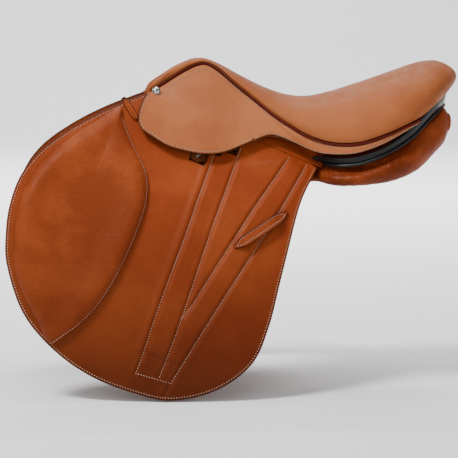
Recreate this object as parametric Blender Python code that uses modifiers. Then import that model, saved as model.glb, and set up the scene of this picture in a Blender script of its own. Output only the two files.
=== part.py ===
"""Close-contact jumping saddle in tan leather, 17.5 inch seat.

Run with: blender --background --python part.py
Every number below is in millimetres until a mesh is finished, when it becomes metres.
+X points to the cantle, +Z up, and the saddle's left side, the rider mounts from it, is -Y.
Side views are written as (x, z). Distances out from the middle plane are positive on both sides.
"""
import math

import bmesh
import bpy
from mathutils import Matrix, Vector

MM = 0.001
FIT = 0.3
SIDES = {"left": -1, "right": 1}

# Fold line of the flap and the skirt: the outer face of the skirt, (x, distance out, z)
FOLD_FRONT = (-125.0, 84.0, 88.0)
FOLD_REAR = (124.0, 114.0, -20.0)
FLAP_SPREAD = 127.5
FLAP_DROP = 170.0
FOLD_GAP = 1.0
LOBE_GAP = 0.45

# Leathers and what lies between them, outside to inside
SKIRT_THICK = 4.0
SKIRT_STANDOFF = 10.0
FLAP_THICK = 5.0
BILLET_THICK = 3.5
BILLET_CLEARANCE = 2.2
SWEAT_FLAP_THICK = 4.0
PANEL_SEAT = 1.0
PANEL_FRONT_THICK = 27.0

# Seat stack, top to bottom
SEAT_LEATHER = 3.0
SEAT_FOAM = 10.5
WEB_THICK = 2.0
CROSS_WEB_THICK = 1.6
HEAD_PLATE_THICK = 2.0
TREE_HEAD_THICK = 10.0
GULLET_PLATE_THICK = 2.0
TREE_CANTLE_THICK = 9.0
TREE_RAIL_THICK = 8.0
FACING_THICK = 2.5
FACING_DEPTH = 22.0
FACING_ROWS = 5
WELT_RADIUS = 2.2
WELT_OUT = 1.8
SEAT_TALL = 60.0

# Seat stations, front to rear: crest x, crest z, welt x, welt distance out, welt z, roll
SEAT_STATIONS = (
    (-90.0, 114.5, -122.0, 70.0, 88.0, 0.0),
    (-82.0, 121.5, -105.0, 60.0, 101.0, 0.0),
    (-73.0, 128.5, -90.0, 46.0, 110.0, 0.0),
    (-63.0, 134.0, -71.0, 34.0, 121.0, 0.0),
    (-53.0, 137.2, -54.0, 27.0, 129.0, 0.0),
    (-40.0, 137.5, -40.0, 24.0, 132.0, 0.0),
    (-24.0, 133.0, -27.0, 27.0, 129.0, 0.0),
    (-5.0, 124.0, -12.0, 36.0, 119.0, 0.0),
    (15.0, 113.0, 8.0, 51.0, 101.0, 0.0),
    (38.0, 101.0, 32.0, 66.0, 81.0, 0.0),
    (62.0, 90.5, 58.0, 80.0, 59.0, 0.0),
    (88.0, 83.0, 84.0, 94.0, 41.0, 0.0),
    (115.0, 81.0, 110.0, 109.0, 26.0, 0.0),
    (145.0, 86.0, 140.0, 122.0, 17.0, 0.0),
    (178.0, 95.5, 175.0, 133.0, 17.0, 0.0),
    (210.0, 106.0, 210.0, 137.0, 27.0, 0.0),
    (240.0, 116.5, 242.0, 133.0, 40.0, 5.0),
    (268.0, 126.5, 270.0, 119.0, 53.0, 12.0),
    (288.0, 132.5, 296.0, 93.0, 70.0, 18.0),
    (302.0, 134.0, 318.0, 51.0, 84.0, 22.0),
    (306.0, 134.2, 326.0, 0.0, 88.0, 30.0),
)
SEAT_ROUNDNESS = 2.2
POMMEL_LENGTH = 0.3
SEAT_STEPS_ALONG = 26
SEAT_STEPS_ACROSS = 6

# Lower edge of the fixed skirt behind the lobe: x, distance out, z
BAND_LOW = (
    (30.0, 102.5, 19.2), (52.0, 97.0, 26.0), (71.0, 98.0, 22.0), (92.0, 103.0, 13.0), (121.0, 117.0, 1.0),
    (150.0, 128.0, -1.5), (179.0, 136.0, 2.0), (219.0, 138.0, 17.0), (264.0, 124.0, 42.0),
)
WELT_LINES = 22
BAND_END = WELT_LINES / SEAT_STEPS_ALONG
BAND_CROWN = 2.0
BAND_CORNER = 8 / WELT_LINES
BAND_FOLD_END = (52.0, 26.0)
BAND_FOLD_SHARE = 0.9
BAND_TURN_OUT = 0.8
BAND_WIDE = 50.0

# Skirt lobe below the fold line, front to rear
LOBE_EDGE = (
    (-125.5, 86.0), (-132.0, 75.0), (-138.0, 55.0), (-135.0, 38.0), (-120.0, 26.0), (-95.0, 11.5),
    (-64.0, 3.0), (-40.0, 0.0), (-16.0, 2.0), (10.0, 11.0), (30.0, 19.0),
)

# Flap edge from its front corner, down the front, round the bottom and up the rear
FLAP_EDGE = (
    (-127.0, 86.0), (-183.0, 64.0), (-233.0, 38.0), (-277.0, 7.0), (-305.0, -27.0), (-321.0, -68.0),
    (-327.0, -112.0), (-325.0, -155.0), (-303.0, -220.0), (-261.0, -271.0), (-207.0, -309.0),
    (-141.0, -334.0), (-92.0, -342.0), (-32.0, -328.0), (18.0, -292.0), (43.0, -240.0),
    (64.0, -166.0), (93.0, -73.0), (122.0, -22.0),
)
# Notch in the flap's top that clears the stirrup bar, along and below the fold line
NOTCH_FRONT = 44.0
NOTCH_REAR = 153.0
NOTCH_DEPTH = 42.0
NOTCH_REAR_STEP = 131.0
NOTCH_REAR_DEPTH = 32.0
NOTCH_TIP = (93.0, 115.0, 63.0)
FLAP_TOP_HEIGHT = 16.0
FLAP_TOP_PACKING = 3.0
FLAP_TOP_FRONT = 14.0
FLAP_TOP_REAR = 258.0
FLAP_TOP_END = 248.0

SWEAT_FLAP_EDGE = (
    (-142.0, 36.0), (-196.0, 26.0), (-245.0, -2.0), (-275.0, -42.0), (-286.0, -100.0), (-278.0, -165.0),
    (-250.0, -222.0), (-200.0, -262.0), (-140.0, -286.0), (-90.0, -293.0), (-40.0, -284.0),
    (0.0, -250.0), (22.0, -205.0), (44.0, -140.0), (72.0, -76.0),
)

KNEE_PAD_EDGE = (
    (-164.0, 68.0), (-196.0, 49.0), (-246.0, 17.0), (-279.0, -14.0), (-300.0, -46.0), (-313.0, -90.0),
    (-315.0, -150.0), (-303.0, -192.0), (-282.0, -232.0), (-262.0, -262.0), (-217.0, -229.0),
    (-183.0, -188.0), (-156.0, -139.0), (-137.0, -95.0), (-127.0, -60.0), (-128.0, -24.0),
    (-149.0, 22.0), (-160.0, 52.0),
)
KNEE_PAD_CENTRE = (-222.0, -80.0)
KNEE_PAD_CLEARANCE = 0.8
# Rings of the knee pad from its edge to its middle: share of the outline, height
KNEE_PAD_RINGS = ((1.0, 2.0), (0.97, 7.0), (0.9, 12.5), (0.8, 13.0), (0.64, 9.5), (0.42, 7.5), (0.18, 7.0))
KNEE_PAD_POINTS = 32

KEEPER_ENDS = ((-5.0, -130.0), (74.0, -82.0))
KEEPER_WIDTH = 15.0
KEEPER_THICK = 3.0
KEEPER_GAP = 8.0

LOOP_ENDS = ((-157.0, 77.0), (-140.0, 50.0))
LOOP_WIDTH = 9.0
LOOP_THICK = 3.0

# Stirrup bar, along and below the fold line
BAR_FRONT = 50.0
BAR_REAR = 134.0
BAR_TOP = 8.0
BAR_TOP_FALL = 5.0
BAR_BOTTOM = 34.0
BAR_BOTTOM_RISE = 10.0
BAR_TIP = (101.0, 57.0)
BAR_TIP_FRONT = 8.0
BAR_TIP_REAR = 12.0
BAR_PLATE_SHORT = 6.0
BAR_PLATE_OVER = 4.0
BAR_PLATE_UNDER = 20.0
BAR_NECK_TOP = 2.0
BAR_NECK_BOTTOM = 16.0
BAR_WELD = 1.0
BAR_BLADE_THICK = 4.5
BAR_BLADE_CLEARANCE = 1.0
BAR_PLATE_THICK = 3.7
BAR_NECK = 10.0
CATCH_LENGTH = 16.0
CATCH_DROP = 10.0
CATCH_HALF = 5.5
CATCH_CLEARANCE = 0.8
CATCH_CORNERS = 6
RIVET_RADIUS = 4.0
RIVET_TAPER = 0.6
RIVET_HEAD = 1.8
RIVET_DROP = 6.0
RIVETS = {"front": 26.0, "rear": 76.0}

# Girth billets: x where each hangs, its lower end
BILLETS = {"front": (-85.0, -285.0), "mid": (-45.0, -285.0), "rear": (-5.0, -272.0)}
BILLET_WIDTH = 25.0
BILLET_TOP = 60.0
# Half outline of a billet's ends: distance from its middle line, distance from the end
BILLET_HEAD = ((3.0, 0.0), (9.5, 2.5), (BILLET_WIDTH / 2, 7.0))
BILLET_POINT = ((BILLET_WIDTH / 2, 18.0), (5.5, 0.0))
BILLET_GAP = 0.25
GIRTH_WEB_THICK = 2.5

# Tree rail: along the fold line with its upper and lower edge, then places in the row, then under the cantle
RAIL_FRONT = (
    (28.0, -16.0, 26.0), (50.0, -40.0, 32.0), (84.0, -38.0, 31.0), (118.0, -36.0, 27.5),
    (151.0, -34.0, 22.0), (185.0, -32.0, 14.0),
)
RAIL_REAR = (
    ((96.0, 58.0, 38.0), (96.0, 64.0, 8.0)), ((135.0, 78.0, 32.0), (135.0, 88.0, 8.0)),
    ((175.0, 100.0, 30.0), (175.0, 110.0, 8.0)), ((205.0, 102.0, 40.0), (205.0, 112.0, 20.0)),
)
RAIL_LAP = (0.8, 0.85)
RAIL_LAP_ROWS = (0.62, 0.8)
RAIL_ROWS = (0.0, 0.55, 0.8, 1.0)
HEAD_TOP = ((-58.0, 0.0, 112.0), (-60.0, 16.0, 107.5))
HEAD_TOP_WIDTH = (0.92, 0.0, 0.39)
HEAD_TURN = 0.4
HEAD_WIDTH = 30.0
HEAD_COLUMNS = 12
HEAD_PLACE = 62.0
HEAD_LEG_LEVELS = (-28.0, -12.0, 6.0, 24.0)

NAIL_PLACE = (-111.0, 90.0)
NAIL_RADIUS = 6.5
NAIL_HEIGHT = 4.0
NAIL_RIM = 0.8
NAIL_STANDOFF = -0.6
NAIL_RINGS = 5

# Upper and lower edge of the rear facing along the band, then its places under the seat's edge
FACING_TOP = (
    (112.0, 105.0, -7.0), (128.0, 115.0, -2.5), (150.0, 124.0, -6.0), (179.0, 132.0, -3.0),
    (219.0, 134.5, 12.0), (259.0, 122.0, 36.0),
)
FACING_LOW = (
    (112.0, 102.0, -15.0), (129.0, 108.0, -12.0), (151.0, 119.0, -15.5), (182.0, 128.0, -12.0),
    (218.0, 130.0, 2.0), (256.0, 118.0, 24.0),
)
FACING_LINES = (23, 24, 25, 26)
FACING_SEAT = 1.6
FACING_STEPS = 18
FACING_TALL = 17.0
FACING_SLANT = 6.0
REAR_FACING_THICK = 3.5
PIPING_RADIUS = 3.0
PIPING_STEPS = 22
PIPING_START = 0.11

# Panel sections behind the flap: x, then (distance out, z) round the section from the outer top.
# In front of them, under the flap: x, then its upper and lower edge below the fold line
PANEL_REAR_SECTIONS = (
    (136.0, ((98, -23), (107, -30), (112, -38), (104, -46), (86, -43),
             (60, -31), (37, -15), (33, 1), (46, 5), (74, -9))),
    (158.0, ((108, -21), (120, -30), (128, -38), (117, -49), (92, -42),
             (62, -26), (38, -11), (34, 4), (50, 7), (82, -6))),
    (190.0, ((113, -16), (127, -25), (134, -34), (121, -48), (96, -41),
             (66, -22), (40, -6), (36, 12), (52, 15), (88, 2))),
    (232.0, ((109, 3), (126, -8), (133, -22), (119, -41), (96, -34),
             (68, -15), (42, 2), (38, 24), (54, 28), (88, 17))),
    (270.0, ((94, 28), (113, 13), (120, -5), (108, -25), (88, -20),
             (66, -5), (44, 10), (40, 36), (54, 42), (80, 36))),
    (298.0, ((66, 44), (87, 34), (97, 17), (92, -1), (77, -2),
             (60, 6), (46, 18), (42, 36), (50, 44), (58, 46))),
    (314.0, ((57, 54), (73, 48), (82, 33), (79, 14), (68, 9),
             (57, 13), (48, 24), (44, 42), (47, 51), (51, 55))),
    (324.0, ((59, 51), (67, 46), (72, 37), (69, 26), (64, 22),
             (58, 25), (54, 31), (52, 40), (53, 46), (56, 50))),
)
PANEL_FRONT_STATIONS = (
    (-128.0, 44.0, 104.0), (-100.0, 38.0, 140.0), (-50.0, 36.0, 138.0), (0.0, 34.0, 112.0),
    (50.0, 22.0, 72.0), (90.0, 8.0, 38.0), (114.0, 0.0, 20.0),
)
PANEL_SIDES = 20
PANEL_STEPS_ALONG = 26
PANEL_EDGE_THIN = 0.75
PANEL_SAG = (2.0, 7.0)
PANEL_TOP_ROUND = (2.0, 5.0)
GULLET_LINES = (4, 25)
GULLET_CORNER = 16
GULLET_THICK = 2.0
GULLET_SEAT = 0.8

COLLECTION = "jumping_saddle"


def clear_scene():
    for item in list(bpy.data.objects):
        bpy.data.objects.remove(item)


clear_scene()
parts = bpy.data.collections.new(COLLECTION)
cutters = bpy.data.collections.new(COLLECTION + "_cutters")
bpy.context.scene.collection.children.link(parts)
bpy.context.scene.collection.children.link(cutters)


# Materials

def material(name, colour, roughness, metallic=0.0):
    made = bpy.data.materials.new(name)
    made.use_nodes = True
    shader = made.node_tree.nodes["Principled BSDF"]
    shader.inputs["Base Color"].default_value = (*colour, 1.0)
    shader.inputs["Roughness"].default_value = roughness
    shader.inputs["Metallic"].default_value = metallic
    made.diffuse_color = (*colour, 1.0)
    return made


TAN = material("tan_leather", (0.48, 0.21, 0.09), 0.5)
FLAP_BROWN = material("flap_leather", (0.40, 0.10, 0.03), 0.45)
PAD_BROWN = material("pad_leather", (0.52, 0.17, 0.06), 0.45)
DARK_BROWN = material("dark_leather", (0.10, 0.03, 0.015), 0.5)
BURGUNDY = material("welt_leather", (0.11, 0.01, 0.01), 0.4)
BLACK = material("black_leather", (0.012, 0.012, 0.012), 0.3)
PANEL_BROWN = material("panel_leather", (0.30, 0.10, 0.04), 0.45)
STEEL = material("steel", (0.62, 0.62, 0.64), 0.25, 1.0)
CHROME = material("chrome", (0.8, 0.8, 0.82), 0.1, 1.0)
WOOD = material("laminated_beech", (0.62, 0.42, 0.22), 0.6)
WEBBING = material("linen_web", (0.66, 0.58, 0.42), 0.9)
FOAM = material("seat_foam", (0.82, 0.76, 0.5), 0.95)


# Curves through points

def knots(points, closed):
    """Points with one more before and after, as a Catmull-Rom curve needs."""
    points = [Vector(p) for p in points]
    if closed:
        return [points[-1]] + points + [points[0], points[1]]
    first = points[0] * 2 - points[1]
    last = points[-1] * 2 - points[-2]
    return [first] + points + [last]


def curve_at(points, share, closed=False):
    """Point on the smooth curve through points at a share of its spans, 0 to 1."""
    line = knots(points, closed)
    spans = len(line) - 3
    place = min(max(share, 0.0), 1.0) * spans
    index = min(int(place), spans - 1)
    t = place - index
    a, b, c, d = line[index:index + 4]
    return 0.5 * (2 * b + (c - a) * t + (2 * a - 5 * b + 4 * c - d) * t * t
                  + (3 * b - a - 3 * c + d) * t ** 3)


def smooth_line(points, count, closed=False):
    """count points spaced evenly by length on the smooth curve through points."""
    fine = [curve_at(points, i / 400, closed) for i in range(401)]
    reach = [0.0]
    for a, b in zip(fine, fine[1:]):
        reach.append(reach[-1] + (b - a).length)
    steps = count if closed else count - 1
    line, index = [], 0
    for i in range(count):
        want = reach[-1] * i / steps
        while index < 399 and reach[index + 1] < want:
            index += 1
        span = max(reach[index + 1] - reach[index], 1e-9)
        line.append(fine[index].lerp(fine[index + 1], (want - reach[index]) / span))
    return line


def at_x(points, x):
    """Point of a curve whose x grows along it, at that x."""
    low, high = 0.0, 1.0
    for _ in range(40):
        middle = (low + high) / 2
        if curve_at(points, middle)[0] < x:
            low = middle
        else:
            high = middle
    return curve_at(points, low)


# Fold coordinates: s along the fold line in side view, n square to it and down

FOLD_RUN = math.hypot(FOLD_REAR[0] - FOLD_FRONT[0], FOLD_REAR[2] - FOLD_FRONT[2])
FOLD_COS = (FOLD_REAR[0] - FOLD_FRONT[0]) / FOLD_RUN
FOLD_SIN = (FOLD_FRONT[2] - FOLD_REAR[2]) / FOLD_RUN
FOLD_FLARE = (FOLD_REAR[1] - FOLD_FRONT[1]) / FOLD_RUN


def to_fold(x, z):
    dx, dz = x - FOLD_FRONT[0], z - FOLD_FRONT[2]
    return dx * FOLD_COS - dz * FOLD_SIN, -dx * FOLD_SIN - dz * FOLD_COS


def fold_place(x, n):
    """Place along the fold line of the point with this x, this far below it."""
    return (x - FOLD_FRONT[0] + n * FOLD_SIN) / FOLD_COS


def from_fold(s, n):
    return (FOLD_FRONT[0] + s * FOLD_COS - n * FOLD_SIN, FOLD_FRONT[2] - s * FOLD_SIN - n * FOLD_COS)


def spread(n):
    """How far the outer leather stands out below the fold, and its slope."""
    if n <= 0:
        return FLAP_SPREAD / FLAP_DROP * n, FLAP_SPREAD / FLAP_DROP
    fall = math.exp(-n / FLAP_DROP)
    return FLAP_SPREAD * (1 - fall), FLAP_SPREAD / FLAP_DROP * fall


def layer(s, n, depth):
    """World point, left side positive out, on the leather layer this deep under the skirt's face."""
    near = n
    for _ in range(12):
        slope = spread(near)[1]
        near = n - depth * slope / math.hypot(1, slope)
    rise, slope = spread(near)
    out = FOLD_FRONT[1] + FOLD_FLARE * s + rise - depth / math.hypot(1, slope)
    x, z = from_fold(s, n)
    return Vector((x, out, z))


def layer_normal(s, n, depth):
    along = layer(s + 1, n, depth) - layer(s - 1, n, depth)
    down = layer(s, n + 1, depth) - layer(s, n - 1, depth)
    normal = along.cross(down).normalized()
    return normal if normal.y > 0 else -normal


FLAP_DEPTH = SKIRT_THICK + SKIRT_STANDOFF
BILLET_DEPTH = FLAP_DEPTH + FLAP_THICK + BILLET_CLEARANCE
SWEAT_DEPTH = BILLET_DEPTH + BILLET_THICK + BILLET_CLEARANCE
PANEL_DEPTH = SWEAT_DEPTH + SWEAT_FLAP_THICK + PANEL_SEAT
RAIL_DEPTH = FLAP_DEPTH + FLAP_THICK + FLAP_TOP_PACKING
BLADE_DEPTH = SKIRT_THICK + BAR_BLADE_CLEARANCE
PLATE_DEPTH = RAIL_DEPTH - FIT - BAR_PLATE_THICK


# Seat surface

def mirrored_row(row):
    return row[:3] + (-row[3],) + row[4:]


SEAT_ROWS = SEAT_STATIONS + (mirrored_row(SEAT_STATIONS[-2]),)
SEAT_COLUMNS = tuple(tuple((row[i], row[i + 1], 0.0) for row in SEAT_ROWS) for i in (0, 2, 4))
SEAT_SHARE = (len(SEAT_STATIONS) - 1) / (len(SEAT_ROWS) - 1)


def seat_row(u):
    """Crest, the welt's plan, and the welt's height and roll at a share of the seat's length."""
    return [curve_at(column, u * SEAT_SHARE) for column in SEAT_COLUMNS]


def under_seat(u, v, depth):
    """Point this deep under the seat's leather, u front to rear, v crest to welt."""
    (crest_x, crest_z, _), (welt_x, welt_out, _), (welt_z, roll, _) = seat_row(u)
    if u >= 1.0:
        welt_out = 0.0
    angle = v * math.pi / 2
    power = 2 / SEAT_ROUNDNESS
    across = math.sin(angle) ** power
    height = max(math.cos(angle), 0.0) ** power
    rise = crest_z - welt_z
    sink = depth * min(max((SEAT_TALL - rise) / SEAT_TALL * 1.5, 0.0), 1.0)
    reach = Vector((welt_x - crest_x, welt_out, 0.0))
    away = reach.normalized()
    length = reach.length * math.exp(-depth / reach.length)
    bulge = max(roll - depth, 0.0) * math.sin(2 * angle) * v
    edge = (seat_row(u + 0.01)[1] - seat_row(u - 0.01)[1]).normalized()
    if u >= 1.0:
        edge = Vector((0.0, -1.0, 0.0))
    drop = welt_z - sink
    ahead = 1 + max(1 - u / POMMEL_LENGTH, 0.0)
    return Vector((crest_x + away.x * length * across ** ahead - edge.y * bulge,
                   away.y * length * across + edge.x * bulge,
                   drop + (crest_z - depth - drop) * height))


def seat(u, v):
    return under_seat(u, v, 0.0)


def welt(u):
    """Middle of the welt's cord, just outside and below the seat's edge."""
    cord = (seat(u + 0.01, 1.0) - seat(u - 0.01, 1.0)).normalized()
    away = Vector((-cord.y, cord.x, 0.0)).normalized()
    down = cord.cross(away).normalized()
    if down.z > 0:
        down = -down
    return seat(u, 1.0) + away * WELT_OUT + down * (WELT_RADIUS + 2 * FIT)


# Meshes

def shaped_grid(columns, rows, place):
    """A flat grid bent by place(share along, share across)."""
    bm = bmesh.new()
    bmesh.ops.create_grid(bm, x_segments=columns, y_segments=rows, size=1.0)
    for vert in bm.verts:
        vert.co = place(round((vert.co.x + 1) / 2, 6), round((vert.co.y + 1) / 2, 6))
    return bm


def tube_grid(columns, rows, place):
    """A grid closed round its second direction, its open ends filled or drawn to a point."""
    bm = shaped_grid(columns, rows, lambda a, b: place(a, b % 1.0))
    bmesh.ops.remove_doubles(bm, verts=bm.verts, dist=0.01)
    bmesh.ops.dissolve_degenerate(bm, edges=bm.edges, dist=0.01)
    rims = [edge for edge in bm.edges if edge.is_boundary]
    if rims:
        bmesh.ops.holes_fill(bm, edges=rims, sides=0)
    bmesh.ops.recalc_face_normals(bm, faces=bm.faces)
    return bm


def open_middle(bm):
    """Takes out the faces on the middle plane, where the mirrored half goes on."""
    middle = [face for face in bm.faces if all(abs(vert.co.y) < 0.001 for vert in face.verts)]
    bmesh.ops.delete(bm, geom=middle, context="FACES")


def face_towards(bm, direction):
    """Turns an open surface so that its front looks along direction."""
    bmesh.ops.recalc_face_normals(bm, faces=bm.faces)
    total = sum((face.normal * face.calc_area() for face in bm.faces), Vector())
    if total.dot(Vector(direction)) < 0:
        bmesh.ops.reverse_faces(bm, faces=bm.faces)


def outline_sheet(outline, step):
    """A filled outline in fold coordinates, cut across every step so that it can bend."""
    bm = bmesh.new()
    bm.faces.new([bm.verts.new((s, n, 0.0)) for s, n in outline])
    lows = [n for _, n in outline]
    level = math.ceil(min(lows) / step) * step
    while level < max(lows):
        bmesh.ops.bisect_plane(bm, geom=bm.verts[:] + bm.edges[:] + bm.faces[:], dist=0.001,
                               plane_co=(0.0, level, 0.0), plane_no=(0.0, 1.0, 0.0))
        level += step
    return bm


def make_part(name, bm, side, finish, origin=(0, 0, 0), parent=None, smooth=True):
    """Turns a mesh in millimetres into a named object on one side, with its origin where it turns."""
    origin = Vector(origin)
    for vert in bm.verts:
        vert.co = (Vector((vert.co.x, vert.co.y * side, vert.co.z)) - origin) * MM
    if side < 0:
        bmesh.ops.reverse_faces(bm, faces=bm.faces)
    mesh = bpy.data.meshes.new(name)
    bm.to_mesh(mesh)
    bm.free()
    mesh.materials.append(finish)
    if smooth:
        mesh.shade_smooth()
        mesh.set_sharp_from_angle(angle=math.radians(35))
    made = bpy.data.objects.new(name, mesh)
    parts.objects.link(made)
    if parent:
        made.parent = parent
        made.location = origin * MM - parent.matrix_world.translation
    else:
        made.location = origin * MM
    bpy.context.view_layer.update()
    return made


def thicken(made, thickness):
    wall = made.modifiers.new("wall", "SOLIDIFY")
    wall.thickness = thickness * MM
    wall.offset = -1.0
    return made


def mirrored(made):
    mirror = made.modifiers.new("both_sides", "MIRROR")
    mirror.use_axis = (False, True, False)
    mirror.merge_threshold = 0.00005
    return made


def joint_empty(name, place, parent=None):
    made = bpy.data.objects.new(name, None)
    made.empty_display_size = 20 * MM
    parts.objects.link(made)
    if parent:
        made.parent = parent
        made.location = Vector(place) * MM - parent.matrix_world.translation
    else:
        made.location = Vector(place) * MM
    bpy.context.view_layer.update()
    return made


def sheet_part(name, outline, depth, thickness, side, finish, origin=(0, 0, 0), parent=None, step=30.0):
    """A leather layer: an outline in fold coordinates bent to its depth and given its thickness."""
    bm = outline_sheet(outline, step)
    for vert in bm.verts:
        vert.co = layer(vert.co.x, vert.co.y, depth)
    face_towards(bm, (0, 1, 0))
    return thicken(make_part(name, bm, side, finish, origin, parent), thickness)


def tube_part(name, line, radius, finish, sides=8, closed=False):
    """A cord of leather along a line of points, with filled ends."""
    data = bpy.data.curves.new(name, "CURVE")
    data.dimensions = "3D"
    data.bevel_depth = radius * MM
    data.bevel_resolution = sides // 4
    data.use_fill_caps = True
    spline = data.splines.new("POLY")
    spline.points.add(len(line) - 1)
    for point, place in zip(spline.points, line):
        point.co = (*(Vector(place) * MM), 1.0)
    data.materials.append(finish)
    made = bpy.data.objects.new(name, data)
    parts.objects.link(made)
    return made


# Seat and tree, symmetric about the middle plane

WEB_DEPTH = SEAT_LEATHER + 3 * FIT + SEAT_FOAM + 2 * FIT
CROSS_WEB_DEPTH = WEB_DEPTH + WEB_THICK + FIT


def slab(columns, rows, place):
    """A closed slab: place(share along, share across, 0 on its face or 1 on its back)."""
    bm = bmesh.new()
    bmesh.ops.create_grid(bm, x_segments=columns, y_segments=rows, size=1.0)
    moved = bmesh.ops.extrude_face_region(bm, geom=bm.faces[:], use_keep_orig=True)["geom"]
    for item in moved:
        if isinstance(item, bmesh.types.BMVert):
            item.co.z = 1.0
    for vert in bm.verts:
        vert.co = place((vert.co.x + 1) / 2, (vert.co.y + 1) / 2, vert.co.z)
    bmesh.ops.recalc_face_normals(bm, faces=bm.faces)
    if bm.calc_volume(signed=True) < 0:
        bmesh.ops.reverse_faces(bm, faces=bm.faces)
    return bm


def on_grid(u, v, depth):
    """Like under_seat, but on the flat faces between the seat's grid lines."""
    across = v * SEAT_STEPS_ACROSS
    along = u * SEAT_STEPS_ALONG
    j = min(int(across), SEAT_STEPS_ACROSS - 1)
    i = min(int(along), SEAT_STEPS_ALONG - 1)
    near, far = (
        under_seat(k / SEAT_STEPS_ALONG, j / SEAT_STEPS_ACROSS, depth).lerp(
            under_seat(k / SEAT_STEPS_ALONG, (j + 1) / SEAT_STEPS_ACROSS, depth), across - j)
        for k in (i, i + 1)
    )
    return near.lerp(far, along - i)


def seat_layer(name, lines, rows, edge, depth, thickness, finish, start=0.0):
    """A patch of the seat stack on the seat's own grid lines, mirrored over the crest."""
    def place(a, b, back):
        u = max(round(lines[0] + (lines[1] - lines[0]) * a) / SEAT_STEPS_ALONG, start)
        v = min(round(rows[0] + (rows[1] - rows[0]) * b) / SEAT_STEPS_ACROSS, edge)
        return on_grid(u, v, depth + thickness * back)
    bm = slab(lines[1] - lines[0], rows[1] - rows[0], place)
    open_middle(bm)
    return mirrored(make_part(name, bm, -1, finish))


def build_seat():
    full, wide = SEAT_STEPS_ALONG, SEAT_STEPS_ACROSS
    seat_layer("seat_cover", (0, full), (0, wide), 1.0, 0.0, SEAT_LEATHER, TAN)
    seat_layer("seat_foam", (2, full), (0, wide - 1), 1.0, SEAT_LEATHER + 3 * FIT, SEAT_FOAM, FOAM)
    seat_layer("seat_web", (9, 20), (0, 2), 1.0, WEB_DEPTH, WEB_THICK, WEBBING)
    seat_layer("waist_web", (12, 14), (0, 5), 1.0, CROSS_WEB_DEPTH, CROSS_WEB_THICK, WEBBING)
    seat_layer("tree_cantle", (21, full), (2, wide - 1), 1.0, WEB_DEPTH, TREE_CANTLE_THICK, WOOD)


def build_welt(label, side):
    line = []
    for i in range(WELT_LINES + 1):
        line.append(welt(i / SEAT_STEPS_ALONG))
    line = [Vector((p.x, p.y * side, p.z)) for p in line]
    tube_part("welt_" + label, line, WELT_RADIUS, BURGUNDY)


def band_point(a, b):
    """The fixed skirt, from the welt down to the fold line or the rear lower edge."""
    top = welt(a * BAND_END)
    if a < BAND_CORNER:
        s = to_fold(*BAND_FOLD_END)[0] * a / BAND_CORNER * BAND_FOLD_SHARE
        low = layer(s, -LOBE_GAP, 0.0)
    else:
        first, last = BAND_LOW[0][0], BAND_LOW[-1][0]
        low = at_x(BAND_LOW, first + (last - first) * (a - BAND_CORNER) / (1 - BAND_CORNER))
    cord = (welt((a + 0.01) * BAND_END) - welt((a - 0.01) * BAND_END)).normalized()
    run = low - top
    top = top + (run - cord * run.dot(cord)).normalized() * (WELT_RADIUS + 4 * FIT)
    narrow = max(1 - run.length / BAND_WIDE, 0.0)
    point = top.lerp(low, b)
    point.y += BAND_TURN_OUT * narrow * (1 - b) + BAND_CROWN * math.sin(math.pi * b) * (1 - narrow)
    return point


def build_band(label, side):
    bm = shaped_grid(WELT_LINES, 3, band_point)
    face_towards(bm, (0, 1, 0.2))
    thicken(make_part("skirt_band_" + label, bm, side, TAN), SKIRT_THICK)


def rear_strip(name, top, low, thickness, finish, columns):
    def place(a, b):
        return half_curve(top, a).lerp(half_curve(low, a), b)
    bm = shaped_grid(columns, 1, place)
    face_towards(bm, (1, 1, -0.3))
    thicken(mirrored(make_part(name, bm, -1, finish)), thickness)


def half_curve(points, share):
    """Point on a curve that ends square to the middle plane, where its other half goes on."""
    last = points[-2]
    points = tuple(points) + ((last[0], -last[1], last[2]),)
    return curve_at(points, share * (len(points) - 2) / (len(points) - 1))


def facing_edges():
    top, low = list(FACING_TOP), list(FACING_LOW)
    for line in FACING_LINES:
        u = line / SEAT_STEPS_ALONG
        top.append(under_seat(u, 1.0, SEAT_LEATHER) - Vector((0, 0, FACING_SEAT)))
        low.append(under_seat(u, 1.0, SEAT_LEATHER + FACING_SLANT) - Vector((0, 0, FACING_TALL)))
    return top, low


def build_rear():
    top, low = facing_edges()
    rear_strip("rear_facing", top, low, REAR_FACING_THICK, BLACK, FACING_STEPS)
    shares = [PIPING_START + (1 - PIPING_START) * i / PIPING_STEPS for i in range(PIPING_STEPS + 1)]
    half = [half_curve(low, share) for share in shares]
    drop = Vector((0, 0, -PIPING_RADIUS - 3 * FIT))
    left = [Vector((p.x, -p.y, p.z)) + drop for p in half]
    right = [Vector((p.x, p.y, p.z)) + drop for p in reversed(half[:-1])]
    tube_part("rear_piping", left + right, PIPING_RADIUS, BLACK)


# Tree: head, its two plates and the rails

def head_line():
    """Outer face of the head, from the foot of one leg over its top to the other foot."""
    half = [Vector(p) for p in HEAD_TOP]
    half += [layer(HEAD_PLACE, n, HEAD_LEG_DEPTH) for n in HEAD_LEG_LEVELS]
    return [Vector((p.x, -p.y, p.z)) for p in reversed(half[1:])] + half


HEAD_LEG_DEPTH = RAIL_DEPTH + TREE_RAIL_THICK + 2 * FIT
HEAD_LINE = head_line()


def head_point(a, w, depth):
    """Point on the head, a from its top to its foot, w front to rear, depth inward."""
    step = 0.02
    place = 0.5 + a / 2
    point = curve_at(HEAD_LINE, place)
    along = curve_at(HEAD_LINE, place + step) - curve_at(HEAD_LINE, place - step)
    blend = min(a / HEAD_TURN, 1.0)
    fold = Vector((FOLD_COS, FOLD_FLARE, -FOLD_SIN))
    width = Vector(HEAD_TOP_WIDTH).lerp(fold, blend)
    inward = width.cross(along).normalized()
    if inward.z > 0:
        inward = -inward
    return point + width * (w - 0.5) * HEAD_WIDTH + inward * depth


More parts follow.
